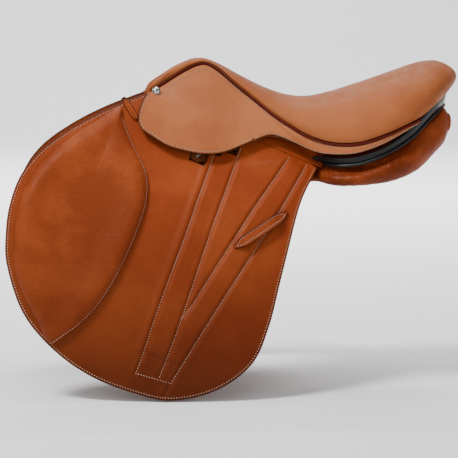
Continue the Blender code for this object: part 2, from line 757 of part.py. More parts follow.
def head_layer(name, columns, width_range, depth, thickness, finish):
    def place(a, b, back):
        w = width_range[0] + (width_range[1] - width_range[0]) * b
        return head_point(columns * a / HEAD_COLUMNS, w, depth + thickness * back)
    bm = slab(columns, 2, place)
    open_middle(bm)
    mirrored(make_part(name, bm, -1, finish))


def build_head():
    head_layer("head_plate", 3, (0.0, 1.0), -2 * FIT - HEAD_PLATE_THICK, HEAD_PLATE_THICK, STEEL)
    head_layer("tree_head", HEAD_COLUMNS, (0.0, 1.0), 0.0, TREE_HEAD_THICK, WOOD)
    head_layer("gullet_plate", 9, (0.0, 1.0), TREE_HEAD_THICK + 3 * FIT, GULLET_PLATE_THICK, STEEL)


def rail_station(k):
    """Places down the rail's outer face, k from the head to the cantle."""
    if k < len(RAIL_FRONT):
        s, high, low = RAIL_FRONT[k]
        return [layer(s, high + (low - high) * b, RAIL_DEPTH) for b in RAIL_ROWS]
    k -= len(RAIL_FRONT)
    if k < len(RAIL_REAR):
        top, low = (Vector(edge) for edge in RAIL_REAR[k])
    else:
        depth = WEB_DEPTH + TREE_CANTLE_THICK + FIT
        top, low = (on_grid(RAIL_LAP[k - len(RAIL_REAR)], v, depth) for v in RAIL_LAP_ROWS)
    return [top.lerp(low, b) for b in RAIL_ROWS]


def rail_low(s):
    """Lower edge of the rail at a place along the fold line."""
    for (first, _, a), (last, _, b) in zip(RAIL_FRONT, RAIL_FRONT[1:]):
        if s <= last:
            break
    return a + (b - a) * (s - first) / (last - first)


def build_rail(label, side):
    stations = len(RAIL_FRONT) + len(RAIL_REAR) + len(RAIL_LAP)

    def place(a, b):
        return rail_station(round(a * (stations - 1)))[round(b * (len(RAIL_ROWS) - 1))]
    bm = shaped_grid(stations - 1, len(RAIL_ROWS) - 1, place)
    face_towards(bm, (0, 1, 0.3))
    thicken(make_part("tree_rail_" + label, bm, side, WOOD), TREE_RAIL_THICK)


# Flap, skirt lobe, knee pad, keeper and loop

def flap_outline():
    edge = [to_fold(*p) for p in smooth_line(FLAP_EDGE, 60)]
    tip_front, tip_rear, tip = NOTCH_TIP
    notch = [(FLAP_TOP_REAR, FOLD_GAP), (NOTCH_REAR, FOLD_GAP), (NOTCH_REAR, NOTCH_REAR_DEPTH),
             (NOTCH_REAR_STEP, NOTCH_REAR_DEPTH), (NOTCH_REAR_STEP, NOTCH_DEPTH),
             (tip_rear, NOTCH_DEPTH), (tip_rear, tip), (tip_front, tip), (tip_front, NOTCH_DEPTH),
             (NOTCH_FRONT, NOTCH_DEPTH), (NOTCH_FRONT, FOLD_GAP)]
    return [(s, max(n, FOLD_GAP)) for s, n in edge] + notch


def lobe_outline():
    edge = [to_fold(*p) for p in smooth_line(LOBE_EDGE, 30)]
    return [(s, max(n, LOBE_GAP)) for s, n in edge]


def build_flap(label, side, parent):
    sheet_part("flap_" + label, flap_outline(), FLAP_DEPTH, FLAP_THICK, side, FLAP_BROWN,
               hinge_place(side), parent)


def build_flap_top(label, side):
    """The flap's nailed top strips, in front of the stirrup bar and behind it."""
    for where, first, last in (("front", FLAP_TOP_FRONT, NOTCH_FRONT), ("rear", NOTCH_REAR, FLAP_TOP_END)):
        outline = [(first, FIT), (last, FIT), (last, -FLAP_TOP_HEIGHT), (first, -FLAP_TOP_HEIGHT)]
        sheet_part("flap_top_%s_%s" % (where, label), outline, FLAP_DEPTH, RAIL_DEPTH - FIT - FLAP_DEPTH,
                   side, FLAP_BROWN)


def build_lobe(label, side, parent):
    sheet_part("skirt_lobe_" + label, lobe_outline(), 0.0, SKIRT_THICK, side, TAN,
               hinge_place(side), parent, 12.0)


def build_knee_pad(label, side, parent):
    edge = [Vector(to_fold(*p)) for p in smooth_line(KNEE_PAD_EDGE, KNEE_PAD_POINTS, True)]
    middle = Vector(to_fold(*KNEE_PAD_CENTRE))
    seat_depth = FLAP_DEPTH - KNEE_PAD_CLEARANCE
    back = [(share, 0.0) for share, _ in reversed(KNEE_PAD_RINGS)]
    rings = [(0.0, 0.0)] + back + list(KNEE_PAD_RINGS) + [(0.0, KNEE_PAD_RINGS[-1][1])]

    def place(a, b):
        share, height = rings[round(a * (len(rings) - 1))]
        s, n = middle.lerp(edge[round(b * KNEE_PAD_POINTS) % KNEE_PAD_POINTS], share)
        return layer(s, n, seat_depth - height)
    bm = tube_grid(len(rings) - 1, KNEE_PAD_POINTS, place)
    make_part("knee_pad_" + label, bm, side, PAD_BROWN, hinge_place(side), parent)


def strap_over_flap(name, ends, width, thickness, gap, side, finish, parent):
    """A strap laid on the flap between two places, standing off it in its middle."""
    a, b = (Vector(to_fold(*end)) for end in ends)
    across = Vector((-(b - a).y, (b - a).x)).normalized()

    def place(along, over, back):
        swell = math.sin(math.pi * along)
        half = width * (0.3 + 0.2 * min(swell * 2.5, 1.0))
        spot = a.lerp(b, along) + across * half * (2 * over - 1)
        lift = gap * min(swell * 1.6, 1.0) ** 1.5
        depth = FLAP_DEPTH - 2 * FIT - lift - thickness * (1 - back)
        return layer(spot.x, spot.y, depth)
    bm = slab(12, 1, place)
    make_part(name, bm, side, finish, hinge_place(side), parent)


# Stirrup bar and its catch

def bar_outline():
    tip_s, tip_n = BAR_TIP
    return [(BAR_FRONT, BAR_TOP), (BAR_REAR, BAR_TOP + BAR_TOP_FALL), (BAR_REAR, BAR_BOTTOM - BAR_BOTTOM_RISE),
            (tip_s + BAR_TIP_REAR, BAR_BOTTOM), (tip_s, tip_n), (tip_s - BAR_TIP_FRONT, BAR_BOTTOM),
            (BAR_FRONT, BAR_BOTTOM)]


def fold_box(name, s_range, n_range, depth_range, steps, side, finish, origin=(0, 0, 0), parent=None):
    def place(a, b, back):
        return layer(*(low + (high - low) * share
                       for (low, high), share in zip((s_range, n_range, depth_range), (a, b, back))))
    return make_part(name, slab(*steps, place), side, finish, origin, parent)


def build_bar(label, side):
    """The bar: a plate on the rail, a neck at its front end and a blade that hooks back over the slot."""
    blade = sheet_part("stirrup_bar_" + label, bar_outline(), BLADE_DEPTH, BAR_BLADE_THICK, side, STEEL,
                       step=18.0)
    back = BLADE_DEPTH + BAR_BLADE_THICK
    neck = fold_box("bar_neck", (BAR_FRONT + BAR_WELD, BAR_FRONT + BAR_NECK),
                    (BAR_TOP + BAR_NECK_TOP, BAR_TOP + BAR_NECK_BOTTOM),
                    (back - BAR_WELD, PLATE_DEPTH + BAR_WELD), (1, 1), side, STEEL)
    plate = fold_box("bar_plate", (BAR_FRONT, BAR_REAR - BAR_PLATE_SHORT),
                     (BAR_TOP - BAR_PLATE_OVER, BAR_TOP + BAR_PLATE_UNDER),
                     (PLATE_DEPTH, PLATE_DEPTH + BAR_PLATE_THICK), (6, 2), side, STEEL)
    join(blade, neck)
    join(blade, plate)


def join(body, other):
    union = body.modifiers.new("with_" + other.name, "BOOLEAN")
    union.operation = "UNION"
    union.solver = "EXACT"
    union.object = other
    parts.objects.unlink(other)
    cutters.objects.link(other)
    other.hide_render = True
    other.display_type = "WIRE"


def catch_pin():
    """The catch's pin, along and below the fold line."""
    return BAR_REAR + CATCH_CLEARANCE + CATCH_HALF, BAR_TOP + CATCH_DROP


def catch_place(side):
    place = layer(*catch_pin(), BLADE_DEPTH + BAR_BLADE_THICK / 2)
    return Vector((place.x, place.y * side, place.z))


def build_catch(label, side, parent):
    """The safety catch, rounded about its pin so that it turns clear of the bar's end."""
    s, n = catch_pin()
    rear = BAR_REAR + CATCH_LENGTH
    outline = [(rear, n - CATCH_HALF), (rear, n + CATCH_HALF)]
    for i in range(CATCH_CORNERS + 1):
        angle = math.pi * (0.5 + i / CATCH_CORNERS)
        outline.append((s + CATCH_HALF * math.cos(angle), n + CATCH_HALF * math.sin(angle)))
    sheet_part("bar_catch_" + label, outline, BLADE_DEPTH, BAR_BLADE_THICK, side, STEEL,
               catch_place(side), parent)


def build_rivet(where, label, side):
    """A rivet's head on the bar's plate."""
    s = BAR_FRONT + RIVETS[where]
    n = BAR_TOP + RIVET_DROP
    place = layer(s, n, PLATE_DEPTH - FIT - RIVET_HEAD / 2)
    turn = Vector((0, 0, 1)).rotation_difference(layer_normal(s, n, PLATE_DEPTH))
    bm = bmesh.new()
    bmesh.ops.create_cone(bm, cap_ends=True, segments=10, radius1=RIVET_RADIUS,
                          radius2=RIVET_RADIUS * RIVET_TAPER, depth=RIVET_HEAD,
                          matrix=Matrix.Translation(place) @ turn.to_matrix().to_4x4())
    make_part("bar_rivet_%s_%s" % (where, label), bm, side, STEEL)


# Girth billets, the webs they hang from and the sweat flap

def billet_hinge(which, side=1):
    s = fold_place(BILLETS[which][0], BILLET_TOP)
    place = layer(s, BILLET_TOP, BILLET_DEPTH + BILLET_THICK / 2)
    return Vector((place.x, place.y * side, place.z))


def build_billet(which, label, side, parent):
    x, low = BILLETS[which]
    top = billet_hinge(which).z
    right = [(x + out, top - drop) for out, drop in BILLET_HEAD]
    right += [(x + out, low + rise) for out, rise in BILLET_POINT]
    left = [(2 * x - px, pz) for px, pz in reversed(right)]
    outline = [to_fold(*p) for p in right + left]
    sheet_part("billet_%s_%s" % (which, label), outline, BILLET_DEPTH, BILLET_THICK, side, DARK_BROWN,
               billet_hinge(which, side), parent)


def build_girth_web(name, names, side):
    low = []
    for which in names:
        hinge = billet_hinge(which)
        for across in (-BILLET_WIDTH / 2, BILLET_WIDTH / 2):
            low.append(to_fold(hinge.x + across, hinge.z + BILLET_GAP))
    first, last = low[0][0], low[-1][0]
    along = [first] + [s for s, _, _ in RAIL_FRONT if first < s < last] + [last]
    outline = low + [(s, rail_low(s) + FIT) for s in reversed(along)]
    sheet_part(name, outline, RAIL_DEPTH, GIRTH_WEB_THICK, side, WEBBING)


def build_sweat_flap(label, side):
    edge = [to_fold(*p) for p in smooth_line(SWEAT_FLAP_EDGE, 44)]
    sheet_part("sweat_flap_" + label, edge, SWEAT_DEPTH, SWEAT_FLAP_THICK, side, DARK_BROWN)


# Panels

def panel_section(x, top_n, low_n):
    """Section of the panel under the flap at x: ten places from the outer top round to the top."""
    outer, inner = [], []
    for share, full in ((0.0, PANEL_EDGE_THIN), (0.33, 1.0), (0.67, 1.0), (1.0, PANEL_EDGE_THIN)):
        n = top_n + (low_n - top_n) * share
        s = fold_place(x, n)
        outer.append(layer(s, n, PANEL_DEPTH))
        inner.append(layer(s, n, PANEL_DEPTH + PANEL_FRONT_THICK * full))
    bottom = (outer[3] + inner[3]) / 2 + Vector((0, PANEL_SAG[0], -PANEL_SAG[1]))
    top = (outer[0] + inner[0]) / 2 + Vector((0, -PANEL_TOP_ROUND[0], PANEL_TOP_ROUND[1]))
    return outer + [bottom] + inner[::-1] + [top]


def panel_sections():
    sections = [panel_section(*row) for row in PANEL_FRONT_STATIONS]
    for x, ring in PANEL_REAR_SECTIONS:
        sections.append([Vector((x, out, z)) for out, z in ring])
    return sections


def panel_ring(sections, line):
    """The panel's corners at one of its lines along."""
    ring = [curve_at([section[i] for section in sections], line / PANEL_STEPS_ALONG) for i in range(10)]
    return [curve_at(ring, i / PANEL_SIDES, True) for i in range(PANEL_SIDES)]


def build_panel(label, side):
    sections = panel_sections()
    rings = [panel_ring(sections, line) for line in range(PANEL_STEPS_ALONG + 1)]

    def place(a, b):
        return rings[round(a * PANEL_STEPS_ALONG)][round(b * PANEL_SIDES) % PANEL_SIDES]
    bm = tube_grid(PANEL_STEPS_ALONG, PANEL_SIDES, place)
    make_part("panel_" + label, bm, side, PANEL_BROWN)


def build_gullet_strip():
    """The channel's leather, laid from panel to panel over their inner tops."""
    sections = panel_sections()
    first, last = GULLET_LINES
    edges = []
    for line in range(first, last + 1):
        ring = panel_ring(sections, line)
        edge = ring[GULLET_CORNER]
        height = max(p.z for p in ring[GULLET_CORNER - 2:GULLET_CORNER + 2])
        edges.append(Vector((edge.x, edge.y, height + GULLET_SEAT)))

    def place(a, b, back):
        edge = edges[round(a * (last - first))]
        return Vector((edge.x, edge.y * (1 - b), edge.z + GULLET_THICK * (1 - back)))
    bm = slab(last - first, 1, place)
    open_middle(bm)
    mirrored(make_part("gullet_strip", bm, -1, TAN))


# Small pieces

def build_nail(label, side):
    """A domed nail: its profile turned about its own axis and set square to the skirt."""
    bm = bmesh.new()
    profile = [(0.0, 0.0), (NAIL_RADIUS, 0.0), (NAIL_RADIUS, NAIL_RIM)]
    for i in range(1, NAIL_RINGS):
        angle = i * math.pi / 2 / NAIL_RINGS
        profile.append((NAIL_RADIUS * math.cos(angle), NAIL_RIM + NAIL_HEIGHT * math.sin(angle)))
    profile.append((0.0, NAIL_RIM + NAIL_HEIGHT))
    line = [bm.verts.new((r, 0, z)) for r, z in profile]
    edges = [bm.edges.new(pair) for pair in zip(line, line[1:])]
    bmesh.ops.spin(bm, geom=line + edges, axis=(0, 0, 1), cent=(0, 0, 0), angle=math.tau, steps=16)
    bmesh.ops.remove_doubles(bm, verts=bm.verts, dist=0.01)
    bmesh.ops.recalc_face_normals(bm, faces=bm.faces)
    s, n = to_fold(*NAIL_PLACE)
    place = layer(s, n, -NAIL_STANDOFF)
    turn = Vector((0, 0, 1)).rotation_difference(layer_normal(s, n, 0.0))
    bm.transform(Matrix.Translation(place) @ turn.to_matrix().to_4x4())
    make_part("head_nail_" + label, bm, side, CHROME)


def build_pommel_facing():
    """The front arch's leather, over the front edges of the seat and the tree's head."""
    def place(a, b, front):
        v = FACING_ROWS * a / SEAT_STEPS_ACROSS
        edge = under_seat(0.0, v, SEAT_LEATHER * 0.5 + FACING_DEPTH * b)
        ahead = (seat(0.0, v) - seat(0.03, v)).normalized()
        return edge + ahead * (2 * FIT + FACING_THICK * front)
    bm = slab(FACING_ROWS, 2, place)
    open_middle(bm)
    mirrored(make_part("pommel_facing", bm, -1, TAN))


def hinge_place(side):
    return Vector((FOLD_FRONT[0], FOLD_FRONT[1] * side, FOLD_FRONT[2]))


build_seat()
build_head()
build_rear()
build_pommel_facing()
build_gullet_strip()
for label, side in SIDES.items():
    flap_axis = joint_empty("flap_axis_" + label, hinge_place(side))
    skirt_axis = joint_empty("skirt_axis_" + label, hinge_place(side), flap_axis)
    catch_axis = joint_empty("catch_axis_" + label, catch_place(side))
    build_welt(label, side)
    build_band(label, side)
    build_rail(label, side)
    build_flap(label, side, flap_axis)
    build_flap_top(label, side)
    build_lobe(label, side, skirt_axis)
    build_knee_pad(label, side, flap_axis)
    strap_over_flap("flap_keeper_" + label, KEEPER_ENDS, KEEPER_WIDTH, KEEPER_THICK, KEEPER_GAP, side,
                    FLAP_BROWN, flap_axis)
    strap_over_flap("front_loop_" + label, LOOP_ENDS, LOOP_WIDTH, LOOP_THICK, 0.0, side, TAN, flap_axis)
    build_bar(label, side)
    build_catch(label, side, catch_axis)
    for where in RIVETS:
        build_rivet(where, label, side)
    for which in BILLETS:
        axis = joint_empty("billet_axis_%s_%s" % (which, label), billet_hinge(which, side))
        build_billet(which, label, side, axis)
    build_girth_web("girth_web_front_" + label, ("front", "mid"), side)
    build_girth_web("girth_web_rear_" + label, ("rear",), side)
    build_sweat_flap(label, side)
    build_panel(label, side)
    build_nail(label, side)
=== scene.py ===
"""Jumping saddle: its looks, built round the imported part.

Lengths are in millimetres until a mesh is finished, when it becomes metres. Side views are (x, z).
A piece that both sides have is shaped for the right side, +Y, and mirrored for the left.
"""
import math
from functools import lru_cache, partial

import bmesh
import bpy
import numpy as np
from mathutils import Matrix, Vector, noise
from mathutils.bvhtree import BVHTree


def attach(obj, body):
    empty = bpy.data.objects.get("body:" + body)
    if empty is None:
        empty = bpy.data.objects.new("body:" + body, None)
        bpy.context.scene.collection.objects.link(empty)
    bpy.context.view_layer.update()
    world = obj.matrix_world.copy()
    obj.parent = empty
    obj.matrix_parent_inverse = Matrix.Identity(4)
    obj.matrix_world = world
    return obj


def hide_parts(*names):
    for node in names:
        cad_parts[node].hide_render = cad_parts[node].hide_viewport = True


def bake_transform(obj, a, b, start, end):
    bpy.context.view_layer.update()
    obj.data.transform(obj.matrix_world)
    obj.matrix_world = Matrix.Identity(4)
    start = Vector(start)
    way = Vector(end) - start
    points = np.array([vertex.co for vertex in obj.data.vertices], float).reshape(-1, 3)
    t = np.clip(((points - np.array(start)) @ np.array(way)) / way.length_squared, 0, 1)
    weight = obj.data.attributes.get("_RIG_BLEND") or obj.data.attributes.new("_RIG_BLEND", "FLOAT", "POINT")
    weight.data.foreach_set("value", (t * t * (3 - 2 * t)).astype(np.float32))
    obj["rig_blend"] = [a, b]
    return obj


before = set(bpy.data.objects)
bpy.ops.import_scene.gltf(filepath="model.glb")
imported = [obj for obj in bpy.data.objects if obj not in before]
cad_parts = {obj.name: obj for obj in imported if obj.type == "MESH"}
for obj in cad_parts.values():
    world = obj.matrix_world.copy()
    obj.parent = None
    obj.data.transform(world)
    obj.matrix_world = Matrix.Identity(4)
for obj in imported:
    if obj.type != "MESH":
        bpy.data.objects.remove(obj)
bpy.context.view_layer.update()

MM = 0.001
SIDES = {"left": -1, "right": 1}

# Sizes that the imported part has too, or that follow from its own. Two differ a little for the looks: the
# rear facing's front ends are drawn in, and the flap's nailed top reaches further at the rear.
FOLD_FRONT = (-125, 84, 88)
FOLD_REAR = (124, 114, -20)
FLAP_SPREAD = 127.5
FLAP_DROP = 170
SKIRT_THICK = 4
FLAP_DEPTH = 14
FLAP_THICK = 5
BILLET_DEPTH = 21.2
BILLET_THICK = 3.5
SWEAT_DEPTH = 26.9
SWEAT_THICK = 4
PANEL_DEPTH = 31.9
PANEL_FRONT_THICK = 27
RAIL_DEPTH = 22
SEAT_LEATHER = 3
SEAT_UNDERSIDE = 14.4
SEAT_TALL = 60
SEAT_ROUNDNESS = 2.2
POMMEL_LENGTH = 0.3
SEAT_GRID = 26
WELT_OUT = 1.8
WELT_DROP = 2.8
BAND_TOP = 2.6
BAND_END = 22 / 26
BAND_CROWN = 2
BAND_CORNER = 8 / 22
BAND_FOLD_END = (52, 26)
BAND_FOLD_SHARE = 0.9
BAND_TURN_OUT = 0.8
BAND_WIDE = 50
SEAT_STATIONS = (
    (-90, 114.5, -122, 70, 88, 0), (-82, 121.5, -105, 60, 101, 0),
    (-73, 128.5, -90, 46, 110, 0), (-63, 134, -71, 34, 121, 0),
    (-53, 137.2, -54, 27, 129, 0), (-40, 137.5, -40, 24, 132, 0),
    (-24, 133, -27, 27, 129, 0), (-5, 124, -12, 36, 119, 0),
    (15, 113, 8, 51, 101, 0), (38, 101, 32, 66, 81, 0),
    (62, 90.5, 58, 80, 59, 0), (88, 83, 84, 94, 41, 0),
    (115, 81, 110, 109, 26, 0), (145, 86, 140, 122, 17, 0),
    (178, 95.5, 175, 133, 17, 0), (210, 106, 210, 137, 27, 0),
    (240, 116.5, 242, 133, 40, 5), (268, 126.5, 270, 119, 53, 12),
    (288, 132.5, 296, 93, 70, 18), (302, 134, 318, 51, 84, 22),
    (306, 134.2, 326, 0, 88, 30),
)
BAND_LOW = (
    (30, 102.5, 19.2), (52, 97, 26), (71, 98, 22), (92, 103, 13), (121, 117, 1),
    (150, 128, -1.5), (179, 136, 2), (219, 138, 17), (264, 124, 42),
)
LOBE_EDGE = (
    (-125.5, 86), (-132, 75), (-138, 55), (-135, 38), (-120, 26), (-95, 11.5),
    (-64, 3), (-40, 0), (-16, 2), (10, 11), (30, 19),
)
FLAP_EDGE = (
    (-127, 86), (-183, 64), (-233, 38), (-277, 7), (-305, -27), (-321, -68),
    (-327, -112), (-325, -155), (-303, -220), (-261, -271), (-207, -309),
    (-141, -334), (-92, -342), (-32, -328), (18, -292), (43, -240),
    (64, -166), (93, -73), (122, -22),
)
NOTCH = ((258, 1), (153, 1), (153, 32), (131, 32), (131, 42), (115, 42), (115, 63), (93, 63), (93, 42),
         (44, 42), (44, 1))
SWEAT_EDGE = (
    (-142, 36), (-196, 26), (-245, -2), (-275, -42), (-286, -100), (-278, -165),
    (-250, -222), (-200, -262), (-140, -286), (-90, -293), (-40, -284),
    (0, -250), (22, -205), (44, -140), (72, -76),
)
PAD_EDGE = (
    (-164, 68), (-196, 49), (-246, 17), (-279, -14), (-300, -46), (-313, -90),
    (-315, -150), (-303, -192), (-282, -232), (-262, -262), (-217, -229),
    (-183, -188), (-156, -139), (-137, -95), (-127, -60), (-128, -24),
    (-149, 22), (-160, 52),
)
PAD_CENTRE = (-222, -80)
PAD_SEAT = FLAP_DEPTH - 0.5
PAD_PROFILE = ((0, 8.2), (0.2, 8.2), (0.4, 8.7), (0.55, 9.8), (0.68, 11.5), (0.78, 12.7), (0.85, 12.9),
               (0.91, 11.8), (0.955, 9), (0.985, 5.4), (1, 2.6))
KEEPER_ENDS = ((-5, -130), (74, -82))
KEEPER_WIDTH = 15
KEEPER_POINT = 0.12
LOOP_ENDS = ((-157, 77), (-140, 50))
FLAP_TOPS = {
    "front": ((14, 0.3), (44, 0.3), (44, -16), (14, -16)),
    "rear": ((153, 0.3), (277, 0.3), (277, -20), (262, -25), (238, -23), (205, -16), (153, -16)),
}
FACING_TOP = (
    (112, 87, -7), (128, 101, -4.5), (150, 122, -6), (179, 132, -3),
    (219, 134.5, 12), (259, 122, 38.5),
)
FACING_LOW = (
    (112, 84, -15), (129, 96, -13), (151, 117, -15.5), (182, 128, -12),
    (218, 130, 2), (256, 118, 24),
)
FACING_LINES = (23, 24, 25, 26)
BILLETS = {"front": (-85, -285), "mid": (-45, -285), "rear": (-5, -272)}
BILLET_TOP = 60
BILLET_WIDTH = 25
PANEL_REAR_SECTIONS = (
    (136, ((98, -23), (107, -30), (112, -38), (104, -46), (86, -43),
             (60, -31), (37, -15), (33, 1), (46, 5), (74, -9))),
    (158, ((108, -21), (120, -30), (128, -38), (117, -49), (92, -42),
             (62, -26), (38, -11), (34, 4), (50, 7), (82, -6))),
    (190, ((113, -16), (127, -25), (134, -34), (121, -48), (96, -41),
             (66, -22), (40, -6), (36, 12), (52, 15), (88, 2))),
    (232, ((109, 3), (126, -8), (133, -22), (119, -41), (96, -34),
             (68, -15), (42, 2), (38, 24), (54, 28), (88, 17))),
    (270, ((94, 28), (113, 13), (120, -5), (108, -25), (88, -20),
             (66, -5), (44, 10), (40, 36), (54, 42), (80, 36))),
    (298, ((66, 44), (87, 34), (97, 17), (92, -1), (77, -2),
             (60, 6), (46, 18), (42, 36), (50, 44), (58, 46))),
    (314, ((57, 54), (73, 48), (82, 33), (79, 14), (68, 9),
             (57, 13), (48, 24), (44, 42), (47, 51), (51, 55))),
    (324, ((59, 51), (67, 46), (72, 37), (69, 26), (64, 22),
             (58, 25), (54, 31), (52, 40), (53, 46), (56, 50))),
)
PANEL_FRONT_STATIONS = (
    (-128, 44, 104), (-100, 38, 140), (-50, 36, 138), (0, 34, 112),
    (50, 22, 72), (90, 8, 38), (114, 0, 20),
)

# What only the looks have: the flap's sewn lines and the edge of the padding between them, in side view
SEAMS = (
    ((-30, -4), (-53, -60), (-71, -108), (-91, -158), (-116, -223), (-132, -270), (-145, -304)),
    ((10, 6), (-34, -101), (-80, -228), (-97, -273), (-112, -309)),
    ((90, 5), (56, -38), (21, -83), (-35, -164), (-60, -202), (-80, -228)),
    ((115, -4), (62, -82), (5, -164), (-46, -240), (-96, -318)),
)
SEAM_FOOT = ((-145, -304), (-96, -318))
SOFT_RIDGE = ((-44, -15), (-71, -82), (-104, -165), (-128, -237), (-142, -270))
SOFT_FOOT = ((-142, -270), (-143, -273), (-83, -295))
FOOT_CREASE = ((-96, -318), (-101, -327), (-106, -335))
# Leather's edges: how round they are, the rings of the mesh inside them, and where their paint fades out
EDGE_ROUND = 1.4
EDGE_RINGS = (0.3, 0.5, 0.8, 1.4)
EDGE_PAINTED = (0.8, 2.2)
STRAP_ROUND = 1.2
# Stitches: their pitch, their distance from an edge, and the steps in which a line is laid on its leather
STITCH_PITCH = 3.9
STITCH_IN = 3.6
SEAM_STEP = 1.2
SEAM_REACH = 8
SEAM_LIFT = 0.1
# The buckle holes on the billets, not cut but painted as dark spots of shade
HOLE_RADIUS = 3
HOLE_PITCH = 16
# The welt's cord and the smaller one on its flange: radius, sides, and how far down and out they lie
WELT_STEPS = 230
WELT_CORDS = ((0.95, 12, -0.3, 0.1), (0.65, 10, 1.2, 0.8))
# The fixed skirt's mesh, where its edge paint starts, and its seams: first share along, distance from
# the edge, the most that this may be of the band's width, and whether the edge is the lower one
BAND_COLUMNS, BAND_ROWS, BAND_SAMPLES = 190, 26, 40
BAND_RINGS = (0, 0.35, 0.9, 1.8)
BAND_PAINT_FROM = 22
BAND_SEAMS = ((0.09, 8.5, 0.42, False), (BAND_CORNER + 0.012, STITCH_IN, 0.32, True))
# The lobe: its top edge, where its seam starts, and between which n its leather bends as it lifts
LOBE_TOP = 0.05
LOBE_SEAM_FROM = 1.5
LOBE_BEND = (0.5, 13)
LOBE_BEND_AT = 90


# Curves through points

def knots(points, closed=False):
    points = [Vector(p) for p in points]
    if closed:
        return [points[-1]] + points + [points[0], points[1]]
    return [points[0] * 2 - points[1]] + points + [points[-1] * 2 - points[-2]]


def on_knots(line, share):
    spans = len(line) - 3
    place = min(max(share, 0.0), 1.0) * spans
    index = min(int(place), spans - 1)
    t = place - index
    a, b, c, d = line[index:index + 4]
    return 0.5 * (2 * b + (c - a) * t + (2 * a - 5 * b + 4 * c - d) * t * t
                  + (3 * b - a - 3 * c + d) * t ** 3)


def curve_at(points, share):
    return on_knots(knots(points), share)


FINE_STEPS = 1200


def smooth_line(points, count, closed=False):
    """count points spaced evenly by length on the smooth curve through points."""
    line = knots(points, closed)
    fine = [on_knots(line, i / FINE_STEPS) for i in range(FINE_STEPS + 1)]
    reach = np.concatenate(([0.0], np.cumsum([(b - a).length for a, b in zip(fine, fine[1:])])))
    steps = count if closed else count - 1
    made = []
    for want in np.arange(count) * reach[-1] / steps:
        index = min(int(np.searchsorted(reach, want, side="right")) - 1, FINE_STEPS - 1)
        span = max(reach[index + 1] - reach[index], 1e-9)
        made.append(fine[index].lerp(fine[index + 1], (want - reach[index]) / span))
    return made


def at_x(points, x):
    """The place where a curve that runs rearwards has this x."""
    line, low, high = knots(points), 0.0, 1.0
    for _ in range(30):
        middle = (low + high) / 2
        if on_knots(line, middle)[0] < x:
            low = middle
        else:
            high = middle
    return on_knots(line, low)


# Fold coordinates: s along the fold line in side view, n square to it and down

FOLD_RUN = math.hypot(FOLD_REAR[0] - FOLD_FRONT[0], FOLD_REAR[2] - FOLD_FRONT[2])
FOLD_COS = (FOLD_REAR[0] - FOLD_FRONT[0]) / FOLD_RUN
FOLD_SIN = (FOLD_FRONT[2] - FOLD_REAR[2]) / FOLD_RUN
FOLD_FLARE = (FOLD_REAR[1] - FOLD_FRONT[1]) / FOLD_RUN


def to_fold(x, z):
    dx, dz = x - FOLD_FRONT[0], z - FOLD_FRONT[2]
    return dx * FOLD_COS - dz * FOLD_SIN, -dx * FOLD_SIN - dz * FOLD_COS


def fold_place(x, n):
    """The s of the place with this x and n."""
    return (x - FOLD_FRONT[0] + n * FOLD_SIN) / FOLD_COS


def slope_at(n):
    """How steeply the flap leans outwards, this far down."""
    return FLAP_SPREAD / FLAP_DROP * np.exp(-np.maximum(n, 0.0) / FLAP_DROP)


LAYER_ROUNDS = 14


def layers(s, n, depth):
    """Places on the leather layers this deep under the skirt's face, for whole arrays."""
    s, n, depth = np.broadcast_arrays(np.asarray(s, float), np.asarray(n, float), np.asarray(depth, float))
    near = n
    for _ in range(LAYER_ROUNDS):
        slope = slope_at(near)
        near = n - depth * slope / np.hypot(1, slope)
    slope = slope_at(near)
    rise = np.where(near <= 0, FLAP_SPREAD / FLAP_DROP * near,
                    FLAP_SPREAD * (1 - np.exp(-np.maximum(near, 0.0) / FLAP_DROP)))
    return np.stack((FOLD_FRONT[0] + s * FOLD_COS - n * FOLD_SIN,
                     FOLD_FRONT[1] + FOLD_FLARE * s + rise - depth / np.hypot(1, slope),
                     FOLD_FRONT[2] - s * FOLD_SIN - n * FOLD_COS), axis=-1)


def layer(s, n, depth):
    return Vector(layers(s, n, depth))


def layer_normals(s, n, depth):
    along = layers(np.asarray(s) + 1.0, n, depth) - layers(np.asarray(s) - 1.0, n, depth)
    down = layers(s, np.asarray(n) + 1.0, depth) - layers(s, np.asarray(n) - 1.0, depth)
    normal = np.cross(along, down)
    normal /= np.linalg.norm(normal, axis=-1, keepdims=True)
    return normal * np.where(normal[..., 1:2] > 0, 1.0, -1.0)


def fold_line(points, count, closed=False):
    """A smooth line of side-view points, in fold coordinates."""
    return np.array([to_fold(*p) for p in smooth_line(points, count, closed)])


def away_from(points, line):
    """Distance of each point to a polyline, both flat."""
    points, line = np.asarray(points, float)[:, :2], np.asarray(line, float)
    best = np.full(len(points), 1e9)
    for a, b in zip(line[:-1], line[1:]):
        run = b - a
        t = np.clip(((points - a) @ run) / max(run @ run, 1e-9), 0, 1)
        best = np.minimum(best, np.linalg.norm(points - a - t[:, None] * run, axis=1))
    return best


def inside(points, ring):
    """Whether each flat point lies inside a closed ring."""
    x, y = np.asarray(points, float)[:, :2].T
    found = np.zeros(len(x), bool)
    for (ax, ay), (bx, by) in zip(ring, np.roll(ring, -1, axis=0)):
        crosses = (ay > y) != (by > y)
        with np.errstate(divide="ignore", invalid="ignore"):
            where = (bx - ax) * (y - ay) / (by - ay) + ax
        found ^= crosses & (x < where)
    return found


def inward(line, distance):
    """The line moved sideways, towards its left for a positive distance."""
    line = np.asarray(line, float)
    run = np.gradient(line, axis=0)
    run /= np.linalg.norm(run, axis=1, keepdims=True)
    return line + np.stack((-run[:, 1], run[:, 0]), axis=1) * distance


def stitch_line(edge, outline):
    """The line of stitches along an edge, on its inner side."""
    line = inward(edge, STITCH_IN)
    middle = len(line) // 2
    return line if inside(line[middle:middle + 1], outline)[0] else inward(edge, -STITCH_IN)


